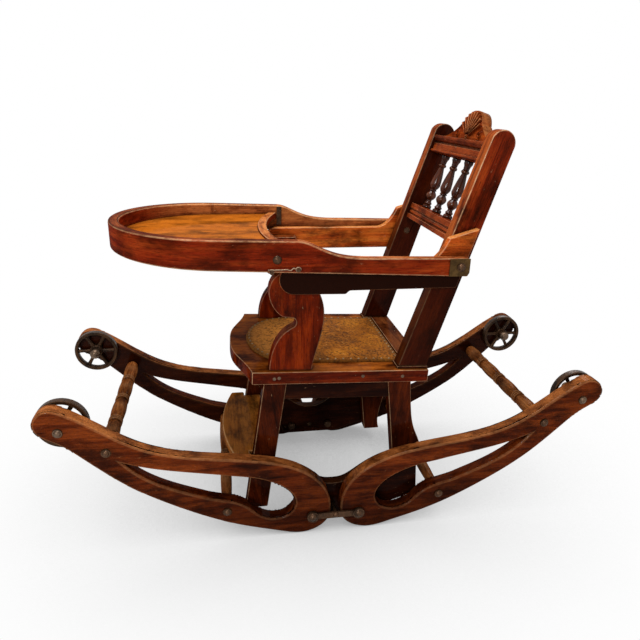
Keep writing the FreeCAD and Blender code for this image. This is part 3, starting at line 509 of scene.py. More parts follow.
rim_wood = varnish(
    "tray_rim_hardwood", dark=(0.026, 0.0030, 0.0008), middle=(0.200, 0.0160, 0.0030),
    light=(0.345, 0.0470, 0.0070), golden=(0.520, 0.1800, 0.0480), bare=(0.60, 0.330, 0.160),
    gloss=0.26, wear_and_glint=0.55)
table_wood = varnish(
    "tray_table_hardwood", dark=(0.065, 0.0180, 0.0016), middle=(0.330, 0.0740, 0.0056),
    light=(0.560, 0.1750, 0.0175), golden=(0.420, 0.1120, 0.0090), bare=(0.66, 0.310, 0.100),
    gloss=0.34, figure=48.0, grooves=0.85, corner=0.022)
tread_wood = varnish(
    "footrest_hardwood", dark=(0.026, 0.0090, 0.0020), middle=(0.290, 0.0820, 0.0110),
    light=(0.530, 0.1950, 0.0320), golden=(0.370, 0.1250, 0.0190), bare=(0.50, 0.270, 0.110),
    gloss=0.5, wear_and_glint=0.9)
print("woods", len([finish for finish in bpy.data.materials if "hardwood" in finish.name]))

# %% [markdown]
# Boards are the solids themselves with their arrises taken off, as a plane and glasspaper would. A
# copy of the solid's mesh is merged, its flat faces are joined up, and Blender's Bevel rounds
# every edge sharper than a set angle. The bevel marks its own faces with a second material number,
# and corners that lie only on those faces get worn = 1. Normals are weighted by face area, so the
# flats stay flat beside the round edges.

# %% Boards with rounded arrises
SHARP = math.radians(32)
FLAT = math.radians(0.4)
SHORTEST = 1e-12


def flat_shading(mesh):
    """Each corner's normal is the sum of its faces' normals, each weighted by that face's area."""
    pull = read(mesh.polygons, "normal", 3) * read(mesh.polygons, "area")[:, None]
    pull = np.repeat(pull, read(mesh.polygons, "loop_total", kind=np.int32), axis=0)
    summed = np.zeros((len(mesh.vertices), 3))
    np.add.at(summed, read(mesh.loops, "vertex_index", kind=np.int32), pull)
    summed /= np.maximum(np.linalg.norm(summed, axis=1, keepdims=True), SHORTEST)
    smooth(mesh)
    mesh.normals_split_custom_set_from_vertices(summed)


def rounded_copy(node, radius, segments):
    """The solid's mesh with its arrises rounded, and the number worn, for pale wear and painted
    highlight, on the round part.
    """
    mesh = frame["nodes"][node].data.copy()
    work = bmesh.new()
    work.from_mesh(mesh)
    bmesh.ops.remove_doubles(work, verts=work.verts, dist=MERGE)
    bmesh.ops.dissolve_limit(work, angle_limit=FLAT, verts=work.verts, edges=work.edges)
    work.to_mesh(mesh)
    work.free()
    mesh.materials.clear()
    mesh.materials.append(frame_wood)
    mesh.materials.append(frame_wood)
    mesh.polygons.foreach_set("material_index", np.zeros(len(mesh.polygons), dtype=np.int32))
    holder = bpy.data.objects.new("holder", mesh)
    show(holder)
    bevel = holder.modifiers.new("arris", "BEVEL")
    bevel.width = radius
    bevel.segments = segments
    bevel.limit_method = "ANGLE"
    bevel.angle_limit = SHARP
    bevel.use_clamp_overlap = False
    bevel.material = 1
    evaluated = holder.evaluated_get(bpy.context.evaluated_depsgraph_get())
    result = bpy.data.meshes.new_from_object(evaluated)
    bpy.data.objects.remove(holder)
    flat_face = read(result.polygons, "material_index", kind=np.int32) == 0
    beside_flat = np.repeat(flat_face, read(result.polygons, "loop_total", kind=np.int32))
    worn = np.ones(len(result.vertices))
    worn[read(result.loops, "vertex_index", kind=np.int32)[beside_flat]] = 0.0
    result.polygons.foreach_set("material_index", np.zeros(len(result.polygons), dtype=np.int32))
    store(result, "worn", worn)
    flat_shading(result)
    return result


print("edges sharper than", round(math.degrees(SHARP)), "degrees are rounded")

# %% [markdown]
# Some marks depend on where a face looks. Faces turned to the light get a golden tone, partly wear
# and partly painted light. Faces that look inwards, or that the tray's arms cover, are darkened;
# under the tray's arms that darkening is painted shade. So each face compares its normal with a
# direction, and a share by place can hold the mark back, as inside a rocker's slot, where there is
# wood above.

# %% Marks of wear
LOOKS_AWAY = 0.35
LOOKS_ALONG = 0.85
SLICES = 24
SLICE_MARGIN = 1e-4
TOP_BAR = (0.034, 0.022)


def smooth_step(low, high, value):
    """0 at low, 1 at high, and an S-shaped rise between them."""
    t = np.clip((value - low) / (high - low), 0.0, 1.0)
    return t * t * (3 - 2 * t)


def mark_faces(mesh, name, direction, share=None):
    """0 on faces turned from a direction, 1 on those that look along it, times a share by place."""
    middles = read(mesh.polygons, "center", 3)
    direction = direction(middles) if callable(direction) else direction
    direction = np.asarray(direction, dtype=float)
    direction = direction / np.linalg.norm(direction, axis=-1, keepdims=True)
    agreement = np.sum(read(mesh.polygons, "normal", 3) * direction, axis=1)
    marks = smooth_step(LOOKS_AWAY, LOOKS_ALONG, agreement)
    if share is not None:
        marks *= share(middles, read(mesh.vertices, "co", 3))
    store(mesh, name, marks, "FACE")


def outer_top(middles, corners):
    """1 near the highest corner in a slice along X, 0 where there is wood above, as in a slot."""
    along = corners[:, 0]
    edges = np.linspace(along.min() - SLICE_MARGIN, along.max() + SLICE_MARGIN, SLICES + 1)
    highest = np.full(SLICES, -np.inf)
    np.maximum.at(highest, np.digitize(along, edges) - 1, corners[:, 2])
    below = highest[np.digitize(middles[:, 0], edges) - 1] - middles[:, 2]
    return smooth_step(*TOP_BAR, below)


print("faces are marked between", LOOKS_AWAY, "and", LOOKS_ALONG)

# %% [markdown]
# Now every flat piece is dressed. Grain runs along each board, as a joiner would cut it: up the
# legs and posts, along the rockers and arms, across the rails. The rockers have been handled most,
# so their arrises are rounded most.

# %% Dressing the boards
LEAN = math.radians(17.5)
UP_THE_BACK = (math.sin(LEAN), 0.0, math.cos(LEAN))
UP_FRONT_LEG = (-0.14, 0.0, 1.0)
UP_REAR_LEG = (0.08, 0.0, 1.0)
FRONT_AND_TOP = (-0.75, 0.0, 0.65)


def dress(node, along, radius, finish, segments=3, grain=None, lit_side=UPWARDS, lit_side_share=None,
          darker_side=None, darker_side_share=None):
    """A rounded copy of a solid with its marks of wear, painted light and painted shade, standing in
    for that solid.
    """
    mesh = rounded_copy(node, radius, segments)
    mark_faces(mesh, "lit_and_worn", lit_side, lit_side_share)
    if darker_side:
        mark_faces(mesh, "inner", darker_side, darker_side_share)
    return settle(f"{node}_board", mesh, finish, BODY_OF[node],
                  grain or straight_grain(along), (node,))


# Faces turned to the light get golden wear and painted light; the inward faces of rockers and
# uprights are darkened.
for side_name, side in SIDES.items():
    to_middle = (0.0, -side, 0.0)
    to_outside = (0.0, side, 0.0)
    for end_name in ENDS:
        dress(f"{end_name}_rocker_{side_name}", LENGTHWAYS, radius=0.0045, finish=rocker_wood,
              segments=4, lit_side_share=outer_top, darker_side=to_middle)
    # The arms' outer faces, covered by the tray's arms, get painted shade.
    dress(f"arm_{side_name}", LENGTHWAYS, radius=0.0022, finish=arm_wood, darker_side=to_outside)
    dress(f"arm_support_{side_name}", UPWARDS, radius=0.0020, finish=scroll_wood)
    dress(f"back_upright_{side_name}", UP_THE_BACK, radius=0.0022, finish=back_wood,
          lit_side=FRONT_AND_TOP, darker_side=to_middle)
    dress(f"front_leg_{side_name}", UP_FRONT_LEG, radius=0.0018, finish=dark_and_shaded_leg_wood)
    dress(f"rear_leg_{side_name}", UP_REAR_LEG, radius=0.0018, finish=dark_and_shaded_leg_wood)
    dress(f"side_yoke_{side_name}", LENGTHWAYS, radius=0.0018, finish=shaded_under_wood)
    dress(f"side_seat_rail_{side_name}", LENGTHWAYS, radius=0.0010, finish=shaded_under_wood)
dress("seat_board", LENGTHWAYS, radius=0.0017, finish=frame_wood)
for node in ("front_seat_rail", "rear_seat_rail", "footrest_rail"):
    dress(node, CROSSWAYS, radius=0.0012, finish=shaded_under_wood)
dress("seat_rear_ledge", CROSSWAYS, radius=0.0012, finish=dark_and_shaded_leg_wood)
for node in ("lower_back_rail", "top_back_rail"):
    dress(node, CROSSWAYS, radius=0.0005, finish=rail_wood, segments=2, lit_side=FRONT_AND_TOP)
dress("footrest", CROSSWAYS, radius=0.0030, finish=tread_wood)
print("boards", pieces_made)

# %% [markdown]
# The tray's rim was bent from one strip, so its grain follows the bend: along one arm, round the
# half circle and back along the other arm. Distance along the grain is therefore the length of that
# path, and the radius from the half circle's centre is the depth into the strip. Its inner wall and
# top get the golden tone of worn and lit wood, partly painted light, except at the front end, where
# the top is darkened.

# %% Tray rim, table and lipping
RIM_CENTRE = -0.1695
RIM_RADIUS = 0.1415
NOSE = (-0.30, -0.20)


def bent_grain(points):
    """Along the strip: straight arms are measured in X, the half circle by angle times radius."""
    forward = np.minimum(points[:, 0] - RIM_CENTRE, 0.0)
    angle = np.arctan2(-forward, -points[:, 1])
    behind = np.maximum(points[:, 0] - RIM_CENTRE, 0.0)
    along = RIM_RADIUS * angle + np.sign(points[:, 1]) * behind
    depth = np.hypot(forward, points[:, 1])
    return np.stack([along, points[:, 2], depth], axis=1)


def in_and_up(middles):
    """From each place on the rim, halfway between up and straight in to the middle line."""
    away = np.stack([np.minimum(middles[:, 0] - RIM_CENTRE, 0.0), middles[:, 1]], axis=1)
    away /= np.linalg.norm(away, axis=1, keepdims=True)
    return np.concatenate([-away, np.ones((len(middles), 1))], axis=1)


def behind_nose(middles, _):
    """0 at the tray's front end, rising to 1 along its sides and arms."""
    return smooth_step(*NOSE, middles[:, 0])


def at_nose(middles, corners):
    """What is left over from the share behind the front end."""
    return 1 - behind_nose(middles, corners)


# The rim's inner wall and top are golden with wear and painted light, and the top at the front end
# is darkened.
dress("tray_rim", None, radius=0.0028, finish=rim_wood, segments=4, grain=bent_grain,
      lit_side=in_and_up, lit_side_share=behind_nose, darker_side=UPWARDS, darker_side_share=at_nose)
dress("tray_board", LENGTHWAYS, radius=0.0008, finish=table_wood)
dress("tray_edge_strip", CROSSWAYS, radius=0.0018, finish=rim_wood)
print("boards with the tray", pieces_made)

# %% [markdown]
# Lathe work is a profile carried round an axis. A turner thinks in beads, coves and tapers, so a
# profile here is a list of runs: how long each is, the radius at its end, and how far it swells or
# sinks in between. The radius along a run is a straight line plus the swell times half a sine
# wave.

# %% Turning
RUN_STEPS = 9
TURN_STEPS = 40
FULL_WEAR_AND_GLINT_SWELL = 0.002


def turner_profile(runs):
    """Distances, radii and pale wear (also a painted highlight) along a profile: straight run plus
    swell times a half sine wave.
    """
    t = np.linspace(0.0, 1.0, RUN_STEPS)
    lengths, ends, swells = np.array(runs).T
    starts = np.concatenate([[0.0], ends[:-1]])
    begin = np.concatenate([[0.0], np.cumsum(lengths)[:-1]])
    bulge = np.sin(np.pi * t)
    along = begin[:, None] + lengths[:, None] * t
    radius = starts[:, None] * (1 - t) + ends[:, None] * t + swells[:, None] * bulge
    # Swells are marked pale: wear on their crests, and also a painted highlight.
    wear_and_glint = np.clip(swells / FULL_WEAR_AND_GLINT_SWELL, 0.0, 1.0)[:, None] * bulge ** 2
    return along.ravel(), radius.ravel(), wear_and_glint.ravel()


def turned_piece(node, runs, start, direction, finish):
    """Points of a lathe piece: start + along x direction + radius x a unit circle square to it."""
    along, radius, wear_and_glint = turner_profile(runs)
    direction = unit(direction)
    helper = LENGTHWAYS if abs(direction[0]) < NEARLY_ALONG else CROSSWAYS
    first = unit(np.cross(direction, helper))
    second = np.cross(direction, first)
    angle = np.linspace(0.0, math.tau, TURN_STEPS, endpoint=False)
    circle = np.cos(angle)[:, None] * first + np.sin(angle)[:, None] * second
    line = np.asarray(start) + along[:, None, None] * direction
    points, faces = grid_shell(line + radius[:, None, None] * circle)
    mesh = mesh_of(node, points, faces, np.repeat(wear_and_glint, TURN_STEPS))
    smooth(mesh, SHARP)
    return settle(f"{node}_turning", mesh, finish, BODY_OF[node],
                  straight_grain(direction), (node,))


print("points round a turning", TURN_STEPS)

# %% [markdown]
# Four balusters stand in the back. From the foot up each has a disc, a ring, a ball, a thin disc,
# a vase that tapers to a slim neck, a collar and a flared cap. They lean with the back, between
# its two rails. Each run is given as a share of the whole length, then radius and swell in
# millimetres.

# %% Back spindles
MILLIMETRE = 0.001
BACK_FOOT = np.array((0.1170, 0.0, 0.2605))
BACK_DEPTH = 0.0065
SPINDLE_FOOT = 0.2137
SPINDLE_TOP = 0.3039
SPINDLE_COUNT = 4
SPINDLE_PITCH = 0.048
BALUSTER = [
    (0.000, 7.2, 0.0), (0.050, 7.2, 0.3), (0.020, 5.0, 0.0), (0.050, 4.6, 1.4),
    (0.035, 4.0, -0.2), (0.175, 4.4, 4.3), (0.006, 5.8, 0.0), (0.018, 5.8, 0.2),
    (0.006, 4.9, 0.0), (0.085, 8.8, 0.6), (0.330, 4.2, 0.6), (0.070, 4.6, 2.1),
    (0.030, 4.9, -0.1), (0.070, 6.8, -0.5), (0.055, 6.8, 0.1), (0.000, 0.0, 0.0),
]


def in_back(depth, across, up):
    """A place in the leaning back: up its slope, across it, and square to its face."""
    x = BACK_FOOT[0] + depth * math.cos(LEAN) + up * math.sin(LEAN)
    z = BACK_FOOT[2] - depth * math.sin(LEAN) + up * math.cos(LEAN)
    return np.stack(np.broadcast_arrays(x, across, z), axis=-1)


spindle_runs = np.array(BALUSTER) * (SPINDLE_TOP - SPINDLE_FOOT, MILLIMETRE, MILLIMETRE)
for number in range(1, SPINDLE_COUNT + 1):
    across = SPINDLE_PITCH * (number - (SPINDLE_COUNT + 1) / 2)
    foot = in_back(BACK_DEPTH, across, SPINDLE_FOOT)
    turned_piece(f"back_spindle_{number}", spindle_runs, foot, UP_THE_BACK, turned_wood)
print("spindles", SPINDLE_COUNT)

# %% [markdown]
# The frames are tied by turned stretchers. The upper ones are long barrels with three rings
# between each and the next, and the lower ones are slimmer. The same few runs repeat along a bar,
# so one function writes its list of runs for any number of barrels.

# %% Stretchers
ROCKER_INNER = 0.134
RING = 0.0042
RINGS = 3
BARREL_EASE = 0.004


def barrel_runs(count, neck, barrel, belly, ring):
    """Barrels that ease out of a neck, with a few rings between each barrel and the next."""
    length = (2 * ROCKER_INNER - (count - 1) * RINGS * RING) / count
    one = [(BARREL_EASE, barrel, 0.0), (length - 2 * BARREL_EASE, barrel, belly),
           (BARREL_EASE, neck, 0.0)]
    group = [(RING, neck, ring)] * RINGS
    return [(0.0, neck, 0.0)] + (one + group) * (count - 1) + one + [(0.0, 0.0, 0.0)]


STRETCHERS = {
    "upper": {"reach": 0.3265, "height": 0.1668,
              "runs": barrel_runs(4, neck=0.0076, barrel=0.0098, belly=0.0012, ring=0.0030)},
    "lower": {"reach": 0.1649, "height": 0.0515,
              "runs": barrel_runs(2, neck=0.0056, barrel=0.0072, belly=0.0017, ring=0.0026)},
}
for end_name, end in ENDS.items():
    for level_name, bar in STRETCHERS.items():
        start = (end * bar["reach"], -ROCKER_INNER, bar["height"])
        turned_piece(f"{end_name}_{level_name}_stretcher", bar["runs"], start, CROSSWAYS, bar_wood)
print("stretchers", len(ENDS) * len(STRETCHERS))

# %% [markdown]
# The crest is a carved pediment with a fan of ribs above a small rosette, and a leaf on each side
# that curls towards the shoulder. A carver would cut the ground back and leave these standing.
# Here the carving is a height added to the front face. In the fan it depends on the angle round
# the fan's foot, so that ribs and grooves spread like a shell.

# %% Carving of the crest
FAN_FOOT = 0.0050
RIBS_PER_TURN = 25
FAN_SPREAD = 1.05
FAN_START = (0.0050, 0.0085)
FAN_FADE = (0.08, -0.04)
RIB_HEIGHT = 0.0048
RIB_GROOVE = 0.0006
RIB_FULLNESS = 1.3
EDGE_ROOM = (0.0010, 0.0034)
ROSETTE_EDGE = (0.0056, 0.0036)
ROSETTE_PETALS = 6
PETAL_DEPTH = 0.3
ROSETTE_HEIGHT = 0.0042
LEAF_PLACE = (0.0400, 0.0110)
LEAF_EDGE = (0.0085, 0.0060)
LEAF_RIPPLE = 1100
LEAF_TWIST = 2
LEAF_DEPTH = 0.45
LEAF_HEIGHT = 0.0030
GROUND_DEPTH = 0.0012
GROUND_EDGE = (0.060, 0.046)


def crest_carving(across, up, top):
    """Height of the carving: fan ribs by angle, a rosette at the foot, and a leaf on each side."""
    radius = np.hypot(across, up - FAN_FOOT)
    angle = np.arctan2(across, up - FAN_FOOT)
    room = smooth_step(*EDGE_ROOM, top - up)
    ribs = np.abs(np.cos(angle * RIBS_PER_TURN / 2)) ** RIB_FULLNESS
    spread = smooth_step(FAN_SPREAD + FAN_FADE[0], FAN_SPREAD + FAN_FADE[1], np.abs(angle))
    fan = smooth_step(*FAN_START, radius) * spread * room
    petals = 1 - PETAL_DEPTH + PETAL_DEPTH * np.cos(ROSETTE_PETALS * angle)
    rosette = smooth_step(*ROSETTE_EDGE, radius) * petals
    beside = np.abs(across) - LEAF_PLACE[0]
    above = up - LEAF_PLACE[1]
    curl = np.hypot(beside, above)
    wave = np.cos(LEAF_RIPPLE * curl - LEAF_TWIST * np.arctan2(above, beside))
    leaf = smooth_step(*LEAF_EDGE, curl) * room * (1 - LEAF_DEPTH + LEAF_DEPTH * wave)
    ground = -GROUND_DEPTH * room * smooth_step(*GROUND_EDGE, np.abs(across))
    return (ground + (RIB_HEIGHT * ribs - RIB_GROOVE) * fan + ROSETTE_HEIGHT * rosette
            + LEAF_HEIGHT * leaf)


print("ribs in the fan", 2 * int(FAN_SPREAD * RIBS_PER_TURN / math.tau) + 1)

# %% [markdown]
# The crest's outline has low shoulders, a long cove up each side, a small step and a round top. The
# face, the back and the top edge are one closed grid: rows run up the face and down the back, and
# columns run across, closer together in the middle where the carving is. Ridges and the top edge are
# painted pale, as wear and as a painted highlight, and the top edge also gets the golden tone of lit
# wood.

# %% Crest
BACK_INNER = 0.097
CREST_BASE = 0.3309
CREST_HALF_THICK = 0.0085
CREST_EDGE = 0.0016
CREST_ROWS = 72
CREST_COLUMNS = 301
ROW_CROWDING = 1.25
COLUMN_CROWDING = 1.35
RIDGE = (0.0010, 0.0027)
RIM_WEAR_AND_GLINT = 0.7
RIM_WIDTH = 0.0022
TOP_EDGE = (0.0016, 0.0004)
CARVED_SHARP = math.radians(48)
CREST_OUTLINE = [
    (0.0, 46.2), (3.1, 46.3), (8.0, 46.0), (12.0, 45.2), (16.0, 43.9), (20.0, 42.0),
    (25.0, 38.6), (29.0, 34.8), (32.0, 31.0), (34.0, 27.6), (38.5, 25.6), (42.0, 22.5),
    (46.5, 19.2), (51.5, 16.3), (57.0, 13.6), (64.0, 10.3), (71.0, 7.6), (79.0, 5.2),
    (87.0, 3.6), (97.0, 3.2),
]
outline_across, outline_up = np.array(CREST_OUTLINE).T * MILLIMETRE


def outline_height(across):
    """Height of the outline at a distance across, by straight lines between its points."""
    return np.interp(np.abs(across), outline_across, outline_up)


def crest_top(middles, _):
    """1 on the top edge, 0 below it: height up the back against the outline at that place."""
    up = (middles - BACK_FOOT) @ np.array(UP_THE_BACK) - CREST_BASE
    return smooth_step(*TOP_EDGE, outline_height(middles[:, 1]) - up)


ups = 1 - (1 - np.linspace(0.0, 1.0, CREST_ROWS)) ** ROW_CROWDING
spread = np.linspace(-1.0, 1.0, CREST_COLUMNS)
across = BACK_INNER * np.sign(spread) * np.abs(spread) ** COLUMN_CROWDING
top = outline_height(across)
up = ups[:, None] * top
over = np.maximum(CREST_EDGE - (top - up), 0.0)
inset = CREST_EDGE - np.sqrt(np.maximum(CREST_EDGE ** 2 - over ** 2, 0.0))
carved = crest_carving(across[None, :], up, top)
face = in_back(BACK_DEPTH - CREST_HALF_THICK + inset - carved, across, CREST_BASE + up)
rear = in_back(BACK_DEPTH + CREST_HALF_THICK - inset, across, CREST_BASE + up)
ring = np.concatenate([face, rear[::-1]], axis=0)
first_end = np.broadcast_to(ring[:, 0].mean(axis=0), (len(ring), 1, 3))
last_end = np.broadcast_to(ring[:, -1].mean(axis=0), (len(ring), 1, 3))
closed = np.concatenate([first_end, ring, last_end], axis=1)
points, faces = grid_shell(closed, wrap_rows=True, wrap_columns=False)
# The top edge and the ridges are painted pale: wear and a painted highlight.
rim_line = RIM_WEAR_AND_GLINT * smooth_step(RIM_WIDTH, 0.0, top - up)
ridge_wear_and_glint = smooth_step(*RIDGE, carved) + rim_line
crest_wear_and_glint = np.pad(np.concatenate([ridge_wear_and_glint, rim_line[::-1]], axis=0), ((0, 0), (1, 1)))
mesh = mesh_of("crest", points, faces, np.clip(crest_wear_and_glint, 0.0, 1.0))
smooth(mesh, CARVED_SHARP)
# The top edge gets the golden tone of lit wood: wear and painted light.
mark_faces(mesh, "lit_and_worn", UPWARDS, crest_top)
settle("crest_carving", mesh, crest_wood, BODY_OF["crest"],
       straight_grain(CROSSWAYS), ("crest",))
print("crest triangles", 2 * len(mesh.polygons))

# %% [markdown]
# Old iron is nearly black, brown where it has rusted and bright where it rubs. One noise lays the
# rust and another gives the grain of the casting, which also makes small bumps. Tarnished brass
# behaves alike in other colours, so one function makes them all.

# %% Irons and brass
CAST_SIZE = (420.0, 420.0, 420.0)
RUST_SIZE = (60.0, 60.0, 60.0)
RUST_STOPS = (0.36, 0.62)
SHINE_STOPS = (0.35, 0.65)
BRIGHT_SPECKS = [(0.60, 0.0), (0.78, 0.6)]
RUST_DULLNESS = 0.22
CAST_DEPTH = 0.00035


def iron(name, dark, brown, bright, rough):
    """Dark to brown by the rust, then bright specks by the grain of the casting."""
    metal = Finish(name, Metallic=0.75, Specular_IOR_Level=0.2)
    place = metal.place()
    cast = metal.noise(place, CAST_SIZE, detail=4.0, rough=0.7)
    rust = metal.noise(place, RUST_SIZE, detail=5.0, rough=0.65)
    colour = metal.ramp(rust, list(zip(RUST_STOPS, (dark, brown))))
    colour = metal.mix(metal.ramp(cast, BRIGHT_SPECKS), colour, tone(*bright))
    shine = metal.ramp(rust, list(zip(SHINE_STOPS, (rough, rough + RUST_DULLNESS))))
    return metal.done(Base_Color=colour, Roughness=shine, Normal=metal.bump(cast, CAST_DEPTH))


wheel_iron = iron("cast_iron", dark=(0.014, 0.008, 0.005), brown=(0.056, 0.026, 0.011),
                  bright=(0.19, 0.12, 0.07), rough=0.30)
bolt_iron = iron("dark_iron", dark=(0.030, 0.017, 0.010), brown=(0.085, 0.042, 0.021),
                 bright=(0.42, 0.31, 0.22), rough=0.22)
wire_iron = iron("bright_wire", dark=(0.200, 0.130, 0.085), brown=(0.340, 0.230, 0.150),
                 bright=(0.66, 0.54, 0.42), rough=0.24)
plate_brass = iron("aged_brass", dark=(0.050, 0.026, 0.008), brown=(0.110, 0.058, 0.018),
                   bright=(0.34, 0.22, 0.09), rough=0.36)
tack_brass = iron("tack_brass", dark=(0.100, 0.060, 0.026), brown=(0.230, 0.145, 0.065),
                  bright=(0.56, 0.42, 0.22), rough=0.26)
screw_iron = iron("screw_iron", dark=(0.080, 0.052, 0.034), brown=(0.150, 0.095, 0.060),
                  bright=(0.50, 0.40, 0.30), rough=0.26)
print("rust in clouds of", round(1000 / RUST_SIZE[0]), "mm")

# %% [markdown]
# The small wheels are castings: a thick rim with a raised lip, six waisted spokes and a stepped
# hub. One wheel is made round the Y axis and then set at each of the four axles. Rim and hub are
# closed sections, in millimetres of radius and distance along the axle, carried round it. Each
# spoke is the same oval tube from the hub into the rim, turned by a sixth of a turn more than the
# last.

# %% Wheels
AXLE_REACH = 0.385
AXLE_HEIGHT = 0.2026
WHEEL_MIDDLE = 0.1275
WHEEL_STEPS = 56
RIM_SECTION = [(30.4, -4.4), (31.4, -5.5), (35.2, -5.5), (36.1, -4.6), (36.5, 0.0), (36.1, 4.6),
               (35.2, 5.5), (31.4, 5.5), (30.4, 4.4), (30.0, 2.0), (30.0, -2.0)]
HUB_SECTION = [(4.05, 5.5), (10.4, 5.5), (11.0, 4.9), (11.0, 0.0), (11.0, -3.2), (10.2, -4.4),
               (9.0, -4.8), (8.6, -9.5), (8.2, -13.6), (7.4, -14.5), (4.05, -14.5)]
SPOKES = 6
SPOKE_ROWS = 7
SPOKE_STEPS = 12
SPOKE_START = 0.009
SPOKE_LENGTH = 0.0225
SPOKE_WIDE = 0.0038
SPOKE_THICK = 0.0028
WAIST_WIDE = 0.0009
WAIST_THICK = 0.0005


def ring_shell(section):
    """A closed section of (radius, along) carried round the axle."""
    radius, along = np.array(section).T[:, :, None] * MILLIMETRE
    angle = np.linspace(0.0, math.tau, WHEEL_STEPS, endpoint=False)
    points = np.broadcast_arrays(radius * np.cos(angle), along, radius * np.sin(angle))
    return grid_shell(np.stack(points, axis=-1), wrap_rows=True)


def spoke_shell(number):
    """An oval tube: its half widths less a waist by half a sine wave, turned to its own angle."""
    t = np.linspace(0.0, 1.0, SPOKE_ROWS)[:, None]
    waist = np.sin(np.pi * t)
    oval = np.linspace(0.0, math.tau, SPOKE_STEPS, endpoint=False)
    reach = np.repeat(SPOKE_START + SPOKE_LENGTH * t, SPOKE_STEPS, 1)
    wide = (SPOKE_WIDE - WAIST_WIDE * waist) * np.cos(oval)
    thick = (SPOKE_THICK - WAIST_THICK * waist) * np.sin(oval)
    angle = number * math.tau / SPOKES
    points = np.stack([reach * math.cos(angle) - wide * math.sin(angle), thick,
                       reach * math.sin(angle) + wide * math.cos(angle)], axis=-1)
    caps = np.repeat(points[[0, -1]].mean(axis=1, keepdims=True), SPOKE_STEPS, 1)
    return grid_shell(np.concatenate([caps[:1], points, caps[1:]]))


spokes = [spoke_shell(number) for number in range(SPOKES)]
wheel_points, wheel_faces = joined([ring_shell(RIM_SECTION), ring_shell(HUB_SECTION), *spokes])
for end_name, end in ENDS.items():
    for side_name, side in SIDES.items():
        node = f"{end_name}_wheel_{side_name}"
        axle = (end * AXLE_REACH, side * WHEEL_MIDDLE, AXLE_HEIGHT)
        mesh = mesh_of(node, wheel_points * (1, side, 1) + axle, wheel_faces)
        smooth(mesh, SHARP)
        settle(f"{node}_casting", mesh, wheel_iron, BODY_OF[node],
               stands_for=(node,))
print("wheel faces", len(wheel_faces))

# %% [markdown]
# The seat has a thin pad under a stiff cover, held by a row of small tacks. Its outline is a
# square back and a round front, and it lies on a seat that falls a little to the rear. The surface
# runs from the middle of the top out to the edge, round it and back underneath to the middle, so
# it is closed. Distance from the middle runs from 0 to 1. The cover sinks a little at each tack.

# %% Shape of the seat pad
SEAT_TOP = 0.2588
SEAT_SLOPE = math.tan(math.radians(2.1))
PAD_TOP = 0.0052
PAD_HALF = 0.095
PAD_FRONT = -0.125
PAD_REAR = 0.107
BOW_SHARE = 0.72
PAD_BOW = PAD_HALF * BOW_SHARE
BOW_POINTS = 400
TACKS = 62
POINTS_PER_TACK = 8
TACK_RING = 0.955
DIMPLE_WIDTH = 0.028
DIMPLE_DEPTH = 0.0007
MIDDLE_RINGS = 30
EDGE_RINGS = 22
EDGE_START = 0.82
EDGE_END = 0.995
EASE_START = 0.80
EASE_DROP = 0.22
ROLL_START = 0.985
ROLL_WIDTH = 0.015
WAVE_HEIGHT = 0.0004
WAVES = (46, 58)
SKIRT_LIFT = 0.0012
HEM_LIFT = 0.0001
pad_middle = np.array((-0.015, 0.0))


def pad_outline(count):
    """Points spaced evenly along the edge: straight sides and back, half an ellipse in front."""
    turn = np.linspace(-math.pi / 2, math.pi / 2, BOW_POINTS)
    bow = np.stack([PAD_FRONT + PAD_BOW - PAD_BOW * np.cos(turn), PAD_HALF * np.sin(turn)], axis=1)
    line = np.concatenate([bow, [(PAD_REAR, PAD_HALF), (PAD_REAR, -PAD_HALF)], bow[:1]])
    steps = np.linalg.norm(np.diff(line, axis=0), axis=1)
    travelled = np.concatenate([[0.0], np.cumsum(steps)])
    wanted = np.linspace(0.0, travelled[-1], count, endpoint=False)
    return np.stack([np.interp(wanted, travelled, line[:, axis]) for axis in (0, 1)], axis=1)


def on_seat(flat, above):
    """Places on the seat, which falls to the rear: top less X times the slope, plus a lift."""
    height = SEAT_TOP - SEAT_SLOPE * flat[..., 0] + above
    return np.concatenate([flat, height[..., None]], axis=-1)


edge_points = TACKS * POINTS_PER_TACK
edge = pad_outline(edge_points)
inward = np.concatenate([np.linspace(0.0, EASE_START, MIDDLE_RINGS),
                         np.linspace(EDGE_START, EDGE_END, EDGE_RINGS)])
roll = np.clip((inward - ROLL_START) / ROLL_WIDTH, 0, 1) ** 2
crown = 1 - EASE_DROP * smooth_step(EASE_START, 1.0, inward) - (1 - EASE_DROP) * roll
round_edge = np.linspace(0.0, math.tau, edge_points, endpoint=False)
pucker = 0.5 + 0.5 * np.cos(TACKS * round_edge)
dimple = np.exp(-((inward - TACK_RING) / DIMPLE_WIDTH) ** 2)[:, None]
rise = PAD_TOP * crown[:, None] - DIMPLE_DEPTH * dimple * pucker
wave = WAVE_HEIGHT * np.sin(WAVES[0] * edge[:, 0] * inward[:, None])
wave = wave * np.sin(WAVES[1] * edge[:, 1] * inward[:, None])
flat_part = pad_middle + inward[:, None, None] * (edge - pad_middle)
upper = on_seat(flat_part, rise + wave * (1 - dimple))
skirt = on_seat(edge, SKIRT_LIFT)[None]
hem = on_seat(edge, HEM_LIFT)[None]
under = on_seat(np.repeat(pad_middle[None], edge_points, 0), HEM_LIFT)[None]
points, faces = grid_shell(np.concatenate([upper, skirt, hem, under]))
towards_edge = np.repeat(np.concatenate([inward, [1.0, 1.0, 0.0]]), edge_points)
pad_mesh = mesh_of("seat_pad", points, faces, towards_edge)
smooth(pad_mesh)
print("pad triangles", 2 * len(pad_mesh.polygons))

# %% [markdown]
# The cover is dry, speckled and stained, like pressed fibre or old leather. Flecks of two sizes sit
# in the colour and stand up as bumps. The front is painted paler, partly as wear from legs and
# partly as painted light that lifts it out of the tray's shadow, and the cover is darker towards its
# edge along the tacks. The pad gives under a child's weight.

